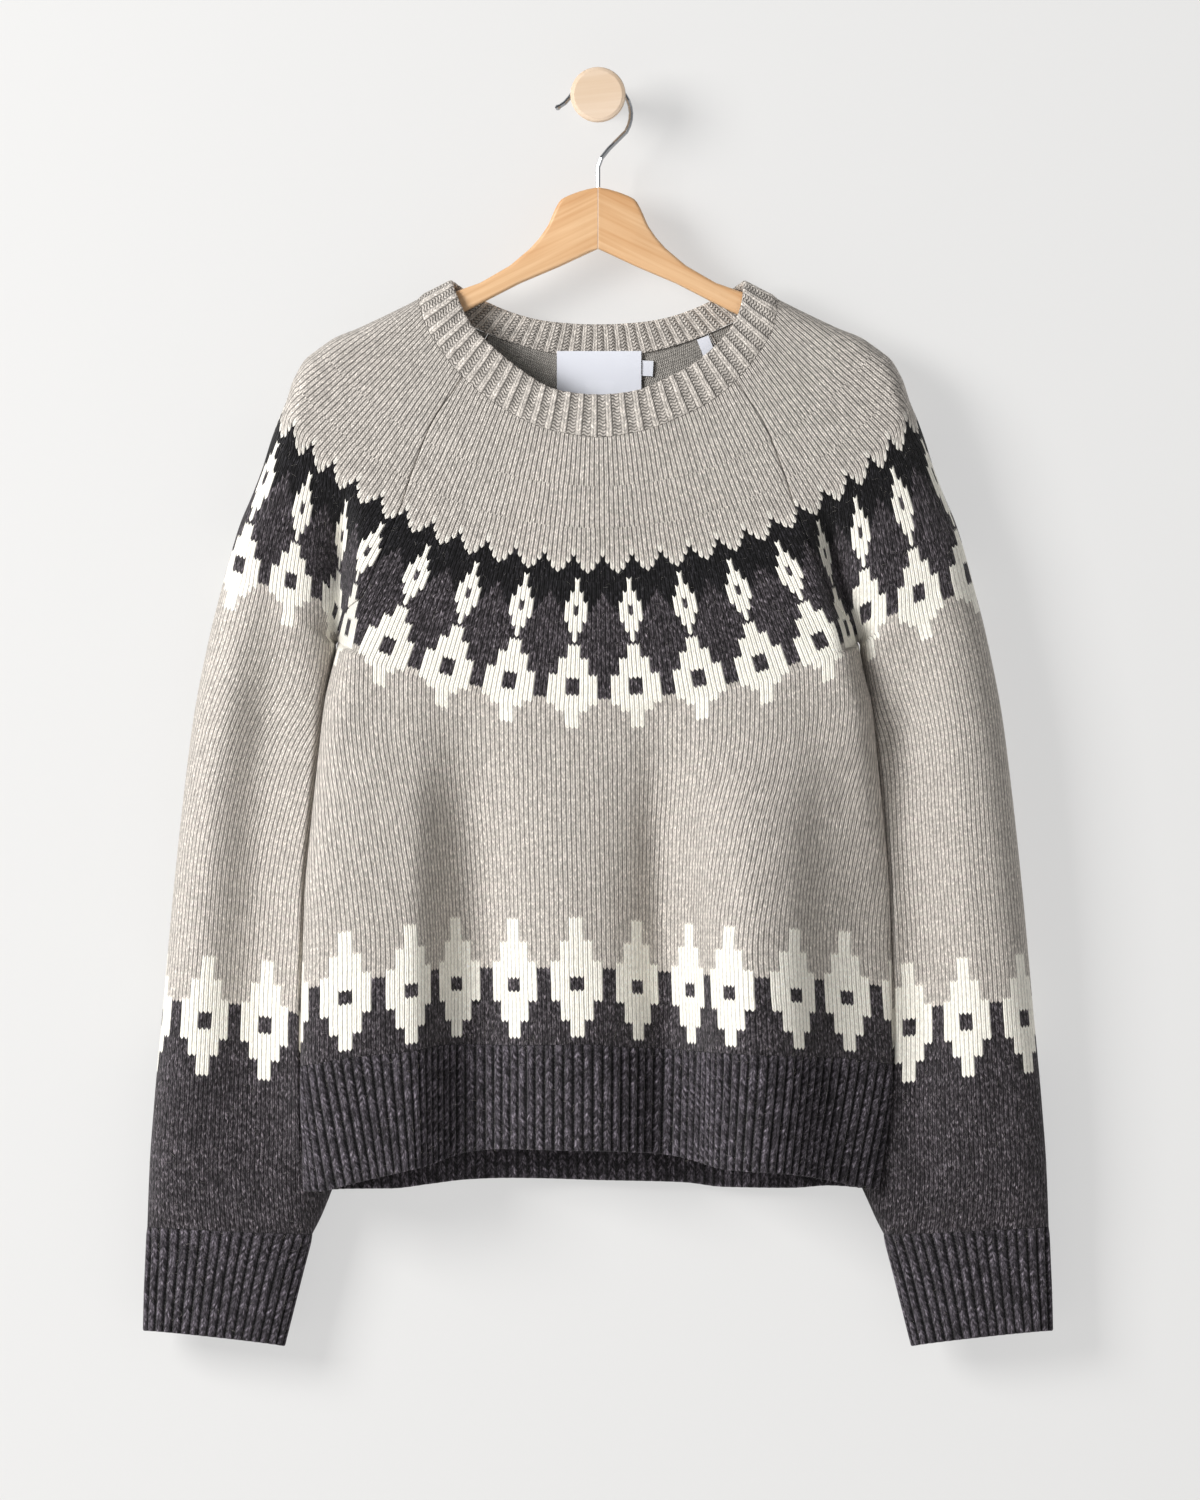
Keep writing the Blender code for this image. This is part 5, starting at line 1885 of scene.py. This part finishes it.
@dataclass(frozen=True)
class LooseFibres:
    """Stray ends of wool that stand off the knit and soften its outline."""

    finish: bpy.types.Material
    fibres_a_square_metre: float = 15000.0
    length_mm: float = 4.2
    width_mm: float = 0.07
    stand_off: float = 0.55
    seed: int = 7

    def tree(self) -> Tree:
        """Make the node tree that lays one bent fibre at each scattered point.

        Returns:
            The tree, whose inputs are the knit, the density, the length and the seed.
        """
        tree = bpy.data.node_groups.new("loose_fibres", "GeometryNodeTree")
        for name, way, kind in (
            ("Knit", "INPUT", "Geometry"),
            ("Fibres per m2", "INPUT", "Float"),
            ("Length", "INPUT", "Float"),
            ("Seed", "INPUT", "Int"),
            ("Fibres", "OUTPUT", "Geometry"),
        ):
            tree.interface.new_socket(name, in_out=way, socket_type="NodeSocket" + kind)
        given = add_node(tree, "NodeGroupInput").outputs
        index = add_node(tree, "GeometryNodeInputMaterialIndex").outputs[0]
        outside = add_node(
            tree,
            "FunctionNodeCompare",
            {"data_type": "INT", "operation": "EQUAL"},
            {2: index, 3: 0},
        ).outputs[0]
        scatter = add_node(
            tree,
            "GeometryNodeDistributePointsOnFaces",
            inputs={
                "Mesh": given["Knit"],
                "Selection": outside,
                "Density": given["Fibres per m2"],
                "Seed": given["Seed"],
            },
        )
        bend = add_node(
            tree,
            "GeometryNodeCurveQuadraticBezier",
            inputs={
                "Resolution": 3,
                "Start": (0.0, 0.0, 0.0),
                "Middle": (0.45, 0.1, self.stand_off),
                "End": (1.0, -0.1, 0.75 * self.stand_off),
            },
        )
        section = add_node(
            tree,
            "GeometryNodeCurvePrimitiveCircle",
            inputs={"Resolution": 3, "Radius": self.width_mm / self.length_mm / 2},
        )
        fibre = add_node(
            tree,
            "GeometryNodeCurveToMesh",
            inputs={"Curve": bend.outputs[0], "Profile Curve": section.outputs[0]},
        )
        turn = self.random(tree, (0.0, 0.0, 0.0), (0.5, 0.5, 2 * math.pi), 1, given["Seed"])
        turned = add_node(
            tree,
            "FunctionNodeRotateRotation",
            {"rotation_space": "LOCAL"},
            {0: scatter.outputs["Rotation"], 1: turn},
        ).outputs[0]
        size = self.random(tree, (0.35, 0.35, 0.2), (1.0, 1.0, 1.0), 2, given["Seed"])
        long = add_node(
            tree,
            "ShaderNodeVectorMath",
            {"operation": "SCALE"},
            {0: size, "Scale": given["Length"]},
        ).outputs[0]
        laid = add_node(
            tree,
            "GeometryNodeInstanceOnPoints",
            inputs={
                "Points": scatter.outputs["Points"],
                "Instance": fibre.outputs[0],
                "Rotation": turned,
                "Scale": long,
            },
        ).outputs[0]
        real = add_node(tree, "GeometryNodeRealizeInstances", inputs={0: laid}).outputs[0]
        dressed = add_node(
            tree,
            "GeometryNodeSetMaterial",
            inputs={"Geometry": real, "Material": self.finish},
        ).outputs[0]
        add_node(tree, "NodeGroupOutput", inputs={0: dressed})
        return tree

    def random(
        self,
        tree: Tree,
        low: Sequence[float],
        high: Sequence[float],
        number: int,
        seed: Socket,
    ) -> Socket:
        """Add a random vector for each fibre.

        Args:
            tree: the tree.
            low: its lowest values.
            high: its highest values.
            number: what sets it apart from the tree's other random vectors.
            seed: the tree's seed.

        Returns:
            The vector's socket.
        """
        own = add_node(tree, "ShaderNodeMath", {"operation": "ADD"}, {0: seed, 1: float(number)})
        node = add_node(
            tree,
            "FunctionNodeRandomValue",
            {"data_type": "FLOAT_VECTOR"},
            {0: tuple(low), 1: tuple(high), "Seed": own.outputs[0]},
        )
        return node.outputs[0]

    def lay_on(self, knit: bpy.types.Object) -> bpy.types.Object:
        """Scatter the fibres over a knitted piece's outside.

        Args:
            knit: the piece.

        Returns:
            The fibres, as one plain mesh.
        """
        name = knit.name + "_loose_fibres"
        holder = put_in_scene(name, knit.data.copy())
        modifier = holder.modifiers.new("fibres", "NODES")
        modifier.node_group = self.tree()
        sizes = {
            "Fibres per m2": self.fibres_a_square_metre,
            "Length": self.length_mm * MM,
            "Seed": self.seed,
        }
        for item in modifier.node_group.interface.items_tree:
            if item.in_out == "INPUT" and item.name in sizes:
                modifier[item.identifier] = sizes[item.name]
        seen = holder.evaluated_get(bpy.context.evaluated_depsgraph_get())
        plain = bpy.data.meshes.new_from_object(seen)
        holder.modifiers.remove(modifier)
        holder.data = plain
        plain.name = name
        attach(holder, "root")
        return holder


@dataclass
class Sweater:
    """The whole garment: panels, sleeves and ribbed bands."""

    form: KnitForm = field(default_factory=KnitForm)

    def build(self) -> None:
        """Build and dress every knitted piece, and report each."""
        # Pale heathered yarn, with the patterns in near-black, charcoal and cream.
        chart = WoolFinish("nordic_chart_melange_wool", Knit.CHART, GREY).build()
        # The duller, bumpy inside of the same cloth, with shade painted between its bumps.
        purl = WoolFinish(
            "light_grey_purl_side", Knit.PURL, "#A9A49D", painted_stitch_shade=0.8
        ).build()
        # The neckband's yarn, with a little shade painted into the grooves between its ribs.
        grey_rib = WoolFinish("light_grey_melange_rib", Knit.RIB, GREY, painted_groove_shade=0.85).build()
        # Dark flecked yarn, with near-black shade painted into the grooves between its ribs.
        charcoal_rib = WoolFinish(
            "charcoal_melange_rib",
            Knit.RIB,
            CHARCOAL,
            fleck=1.6,
            painted_groove_shade=0.16,
            rib_stitches=1.0,
            fibres_a_stitch=7.5,
            leg_lean=3.2,
            cord_share=0.4,
            painted_groove_shade_start=0.27,
        ).build()
        form = self.form
        pieces: list[tuple[KnitPiece, str]] = [
            (Panel("front_panel", form, chart, purl), "hanger_left"),
            (Panel("back_panel", form, chart, purl, half=Half.BACK), "hanger_left"),
            (Sleeve("sleeve_left", form, chart, purl, side=Side.LEFT), "hanger_left"),
            (
                Sleeve("sleeve_right", form, chart, purl, side=Side.RIGHT, border_edge=0.9),
                "hanger_right",
            ),
            (
                Rib(
                    "neckband",
                    form,
                    grey_rib,
                    grey_rib,
                    wall=4.2,
                    proud=1.1,
                    pitch=8.1,
                    relief=1.0,
                    start=0.0,
                    end=4.0,
                    closed=True,
                    ring=form.yoke_ring,
                    levels=(-1.0, 0.0),
                    height=28.0,
                ),
                "hanger_left",
            ),
        ]
        for name, start, leans in (
            ("hem_rib_front", 0.0, (12.0, 7.0)),
            ("hem_rib_back", 2.0, (5.0, 5.0)),
        ):
            rib = Rib(
                name,
                form,
                charcoal_rib,
                charcoal_rib,
                slot="charcoal_wool",
                start=start,
                end=start + 2.0,
                ring=form.body_ring,
                left_lean=leans[0],
                right_lean=leans[1],
            )
            pieces.append((rib, "front_panel"))
        for name, side in (("cuff_left", Side.LEFT), ("cuff_right", Side.RIGHT)):
            rib = Rib(
                name,
                form,
                charcoal_rib,
                charcoal_rib,
                slot="charcoal_wool",
                pitch=6.2,
                closed=True,
                height=70.0,
                ring=lambda level, side=side: form.sleeve_ring(side, level),
            )
            pieces.append((rib, "sleeve_left" if side is Side.LEFT else "sleeve_right"))
        loose = LooseFibres(PlainFinish("loose_wool_fibre", "#B9B3AB", 0.9).build())
        for piece, carrier in pieces:
            grid = piece.grid()
            piece.drawn_in(grid)
            made = piece.mesh(grid)
            width, length, area = self.cut(grid)
            piece.dress(made, (width, length), area, carrier)
            loose.lay_on(made)
            log.info("%s: %d faces, %.4f m2", piece.name, len(made.data.polygons), area)

    @staticmethod
    def cut(grid: Grid) -> tuple[float, float, float]:
        """Measure a piece laid flat.

        Args:
            grid: the piece's outer surface.

        Returns:
            Its width and length in metres, and its area in square metres.
        """
        across = np.diff(grid.points, axis=1)
        down = np.diff(grid.points, axis=0)
        width = float(np.linalg.norm(across, axis=2).sum(axis=1).max()) * MM
        length = float(np.linalg.norm(down, axis=2).sum(axis=0).max()) * MM
        cross = np.cross(across[:-1], down[:, :-1])
        area = float(np.linalg.norm(cross, axis=2).sum()) * MM * MM
        return width, length, min(area, width * length)


BOARD_TOP = table(
    "x z",
    (0.15, -59.8),
    (6, -60.6),
    (13, -62.6),
    (20, -65.3),
    (23.6, -67.2),
    (25.4, -69.3),
    (28, -74),
    (32.5, -84.5),
    (38, -92.6),
    (44.2, -99.5),
    (57.2, -110.5),
    (76.7, -121.8),
    (91.6, -127),
    (104, -131),
)
BOARD_BOTTOM = table(
    "x z",
    (104, -149),
    (86.5, -140.4),
    (50.7, -122),
    (24.7, -111),
    (0.15, -99.5),
)


@dataclass
class HangerHalf:
    """One flat half of the wooden hanger, rounded at its edges but for the glued joint."""

    name: str
    side: Side
    finish: bpy.types.Material
    thickness: float = 12.0
    middle_y: float = -30.0
    edge: float = 2.2
    arm_depth: float = 18.0
    arm_end: float = 184.0
    knit_wall: float = 3.0

    def outline(self) -> np.ndarray:
        """Work out the board's outline, from the joint along the top to the arm's end and back.

        Returns:
            Points x and z in millimetres, evenly close together.
        """
        arm_x = np.array((118.0, 137.0, 155.0, 170.0, 178.0))
        ridge = np.interp(arm_x, SHOULDER["x"], SHOULDER["z"])
        slope = np.gradient(ridge, arm_x)
        # The arm lies a little further below the knit near its middle and towards its end.
        seat = 2.4 * (1 - smooth(118, 250, arm_x)) + 2.6 * smooth(130, 178, arm_x)
        arm_z = ridge - (self.knit_wall + seat) * np.sqrt(1 + slope**2)
        end_z = arm_z[-1] - self.arm_depth / 2
        end = [
            (self.arm_end - 1.5, arm_z[-1] - 5.5),
            (self.arm_end, end_z - 1.5),
            (self.arm_end - 2.5, end_z - 6.5),
        ]
        top = list(zip(BOARD_TOP["x"], BOARD_TOP["z"])) + list(zip(arm_x, arm_z))
        under = list(zip(arm_x[::-1], arm_z[::-1] - self.arm_depth * 1.08))
        bottom = list(zip(BOARD_BOTTOM["x"], BOARD_BOTTOM["z"]))
        loop = np.array(top + end + under + bottom, dtype=float)
        length = running_length(loop)
        count = int(length[-1] / 2.5)
        even = np.linspace(0, length[-1], count)
        return np.column_stack([np.interp(even, length, loop[:, i]) for i in range(2)])

    def build(self) -> bpy.types.Object:
        """Build the half and put it in place of the frame's own.

        Returns:
            The object, at the origin.
        """
        loop = self.outline()
        count = len(loop)
        along = np.roll(loop, -1, axis=0) - np.roll(loop, 1, axis=0)
        along /= np.linalg.norm(along, axis=1)[:, None]
        inward = np.column_stack((along[:, 1], -along[:, 0]))
        reach = 0.12 + 0.88 * smooth(0.5, 4.0, loop[:, 0])
        half = self.thickness / 2
        turns = np.radians((0, 22.5, 45, 67.5, 90))
        profile = [(1 - math.sin(t), math.cos(t)) for t in turns]
        rings = [(inset, half - self.edge * (1 - depth)) for inset, depth in profile]
        rings = rings + [(inset, -at) for inset, at in rings[::-1]]
        points = []
        for inset, at in rings:
            moved = loop + inward * (inset * self.edge * reach)[:, None]
            level = half * math.copysign(1.0, at) + (at - half * math.copysign(1.0, at)) * reach
            depth = self.middle_y - level
            points.append(np.column_stack((self.side.value * moved[:, 0], depth, moved[:, 1])))
        data = bpy.data.meshes.new(self.name)
        faces: list[tuple[int, ...]] = []
        for ring in range(len(rings) - 1):
            for i in range(count):
                j, start = (i + 1) % count, ring * count
                faces.append((start + i, start + count + i, start + count + j, start + j))
        last = (len(rings) - 1) * count
        faces.append(tuple(range(count)))
        faces.append(tuple(last + i for i in range(count))[::-1])
        data.from_pydata((np.concatenate(points) * MM).tolist(), [], faces)
        shape = bmesh.new()
        shape.from_mesh(data)
        bmesh.ops.recalc_face_normals(shape, faces=shape.faces)
        shape.to_mesh(data)
        shape.free()
        data.shade_smooth()
        data.set_sharp_from_angle(angle=math.radians(35))
        data.materials.append(self.finish)
        made = put_in_scene(self.name, data)
        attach(made, "root")
        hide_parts(self.name)
        return made


@dataclass
class Fittings:
    """The hanger, its hook, the peg and the bare labels, as the frame has them."""

    def build(self) -> None:
        """Dress the frame's own pieces."""
        frame_nodes = {o.get("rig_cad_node"): o for o in bpy.data.objects if o.get("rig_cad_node")}
        # Warm, straight-grained boards: the grain falls along each arm.
        beech = WoodFinish("oiled_beech", "#DDB68B", "#BF8A56", (0.0, -0.45, 0.0))
        beech_left = WoodFinish("oiled_beech_left", "#DDB68B", "#BF8A56", (0.0, 0.45, 0.0))
        # A paler, duller turned wood than the hanger's.
        birch = WoodFinish("waxed_birch", "#DBC5AE", "#CFB496", (0.0, 0.1, 0.0), roughness=0.6)
        # Bright bare wire with sharp reflections.
        steel = PlainFinish("chromed_steel_wire", "#A6A8AB", 0.12, 1.0, 0.02)
        # White ribbon with a faint weave and a soft gloss.
        satin = PlainFinish("woven_polyester_satin", "#E4E6EE", 0.5, 0.0, 0.3, 0.25)
        finishes = {"wall_peg": birch.build(), "hanger_hook": steel.build()}
        white = satin.build()
        for name in ("neck_label", "size_tab", "care_tag"):
            finishes[name] = white
        for name, side, wood in (
            ("hanger_left", Side.LEFT, beech_left),
            ("hanger_right", Side.RIGHT, beech),
        ):
            made = HangerHalf(name, side, wood.build()).build()
            log.info("%s: %d faces", name, len(made.data.polygons))
        for name, finish in finishes.items():
            piece = frame_nodes[name]
            piece.data.materials.clear()
            piece.data.materials.append(finish)
            log.info("%s: dressed", name)


@dataclass
class Room:
    """A pale wall and floor, soft daylight from the front left, and the camera."""

    camera_distance: float = 7.0
    view_height: float = 0.975
    wall_y: float = 0.0006
    floor_z: float = -1.4
    reach: float = 6.0
    wall_top: float = 4.0

    def backdrop(
        self, name: str, corners: Sequence[Sequence[float]], code: str, glow: float
    ) -> bpy.types.Object:
        """Add a large plain face that is seen only from its front.

        Args:
            name: the object's name.
            corners: its corners in metres, anticlockwise from the front.
            code: its colour.
            glow: light of its own, which keeps the shadows on it pale.

        Returns:
            The staged object.
        """
        data = bpy.data.meshes.new(name)
        data.from_pydata([tuple(c) for c in corners], [], [tuple(range(len(corners)))])
        material, tree, shader = new_material(name + "_paint")
        shader.inputs["Base Color"].default_value = hex_colour(code)
        shader.inputs["Roughness"].default_value = 0.9
        shader.inputs["Emission Color"].default_value = hex_colour("#FFFFFF")
        shader.inputs["Emission Strength"].default_value = glow
        back = add_node(tree, "ShaderNodeNewGeometry").outputs["Backfacing"]
        clear = add_node(tree, "ShaderNodeBsdfTransparent").outputs[0]
        inputs = {0: back, 1: shader.outputs[0], 2: clear}
        mix = add_node(tree, "ShaderNodeMixShader", inputs=inputs)
        tree.links.new(mix.outputs[0], tree.nodes["Material Output"].inputs[0])
        data.materials.append(material)
        made = put_in_scene(name, data)
        made.visible_shadow = False
        return made

    def light(self, name: str, place: Vector, aim: Vector, size: float, power: float) -> None:
        """Add a square soft light.

        Args:
            name: the light's name.
            place: where it stands, in metres.
            aim: the point that it looks at.
            size: the length of its side, in metres.
            power: its power in watts.
        """
        data = bpy.data.lights.new(name, "AREA")
        data.size = size
        data.energy = power
        made = put_in_scene(name, data)
        made.location = place
        made.rotation_mode = "QUATERNION"
        made.rotation_quaternion = (aim - place).to_track_quat("-Z", "Y")

    def build(self) -> None:
        """Set up the wall, floor, lights, sky and camera."""
        y, low, far, top = self.wall_y, self.floor_z, self.reach, self.wall_top
        wall = [(-far, y, low), (far, y, low), (far, y, top), (-far, y, top)]
        floor = [(-far, -far, low), (far, -far, low), (far, y, low), (-far, y, low)]
        self.backdrop("wall", wall, "#888785", 0.53)
        self.backdrop("floor", floor, "#A09E9B", 0.4)
        aim = Vector((0.0, 0.0, -0.4))
        self.light("window", Vector((-2.3, -2.05, 0.5)), aim, 1.3, 130.0)
        self.light("front_fill", Vector((1.6, -3.2, 0.2)), aim, 2.4, 9.0)
        self.light("back_fill", Vector((0.6, 2.6, 0.6)), aim, 2.2, 60.0)
        world = bpy.data.worlds.new("studio")
        world.use_nodes = True
        sky = world.node_tree.nodes["Background"]
        sky.inputs[0].default_value = hex_colour("#F2F4F8")
        sky.inputs[1].default_value = 0.18
        bpy.context.scene.world = world
        lens = bpy.data.cameras.new("camera")
        lens.lens = 36.0 * self.camera_distance / self.view_height
        camera = put_in_scene("camera", lens)
        camera.location = (0.0013, -self.camera_distance - 0.04, -0.42575)
        camera.rotation_euler = (math.radians(90), 0, 0)
        bpy.context.scene.camera = camera
        bpy.context.scene.view_settings.view_transform = "Standard"


def main() -> None:
    """Build the scene in order."""
    logging.basicConfig(level=logging.INFO, format="%(message)s")
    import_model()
    Sweater().build()
    Fittings().build()
    Room().build()


if __name__ == "__main__":
    main()
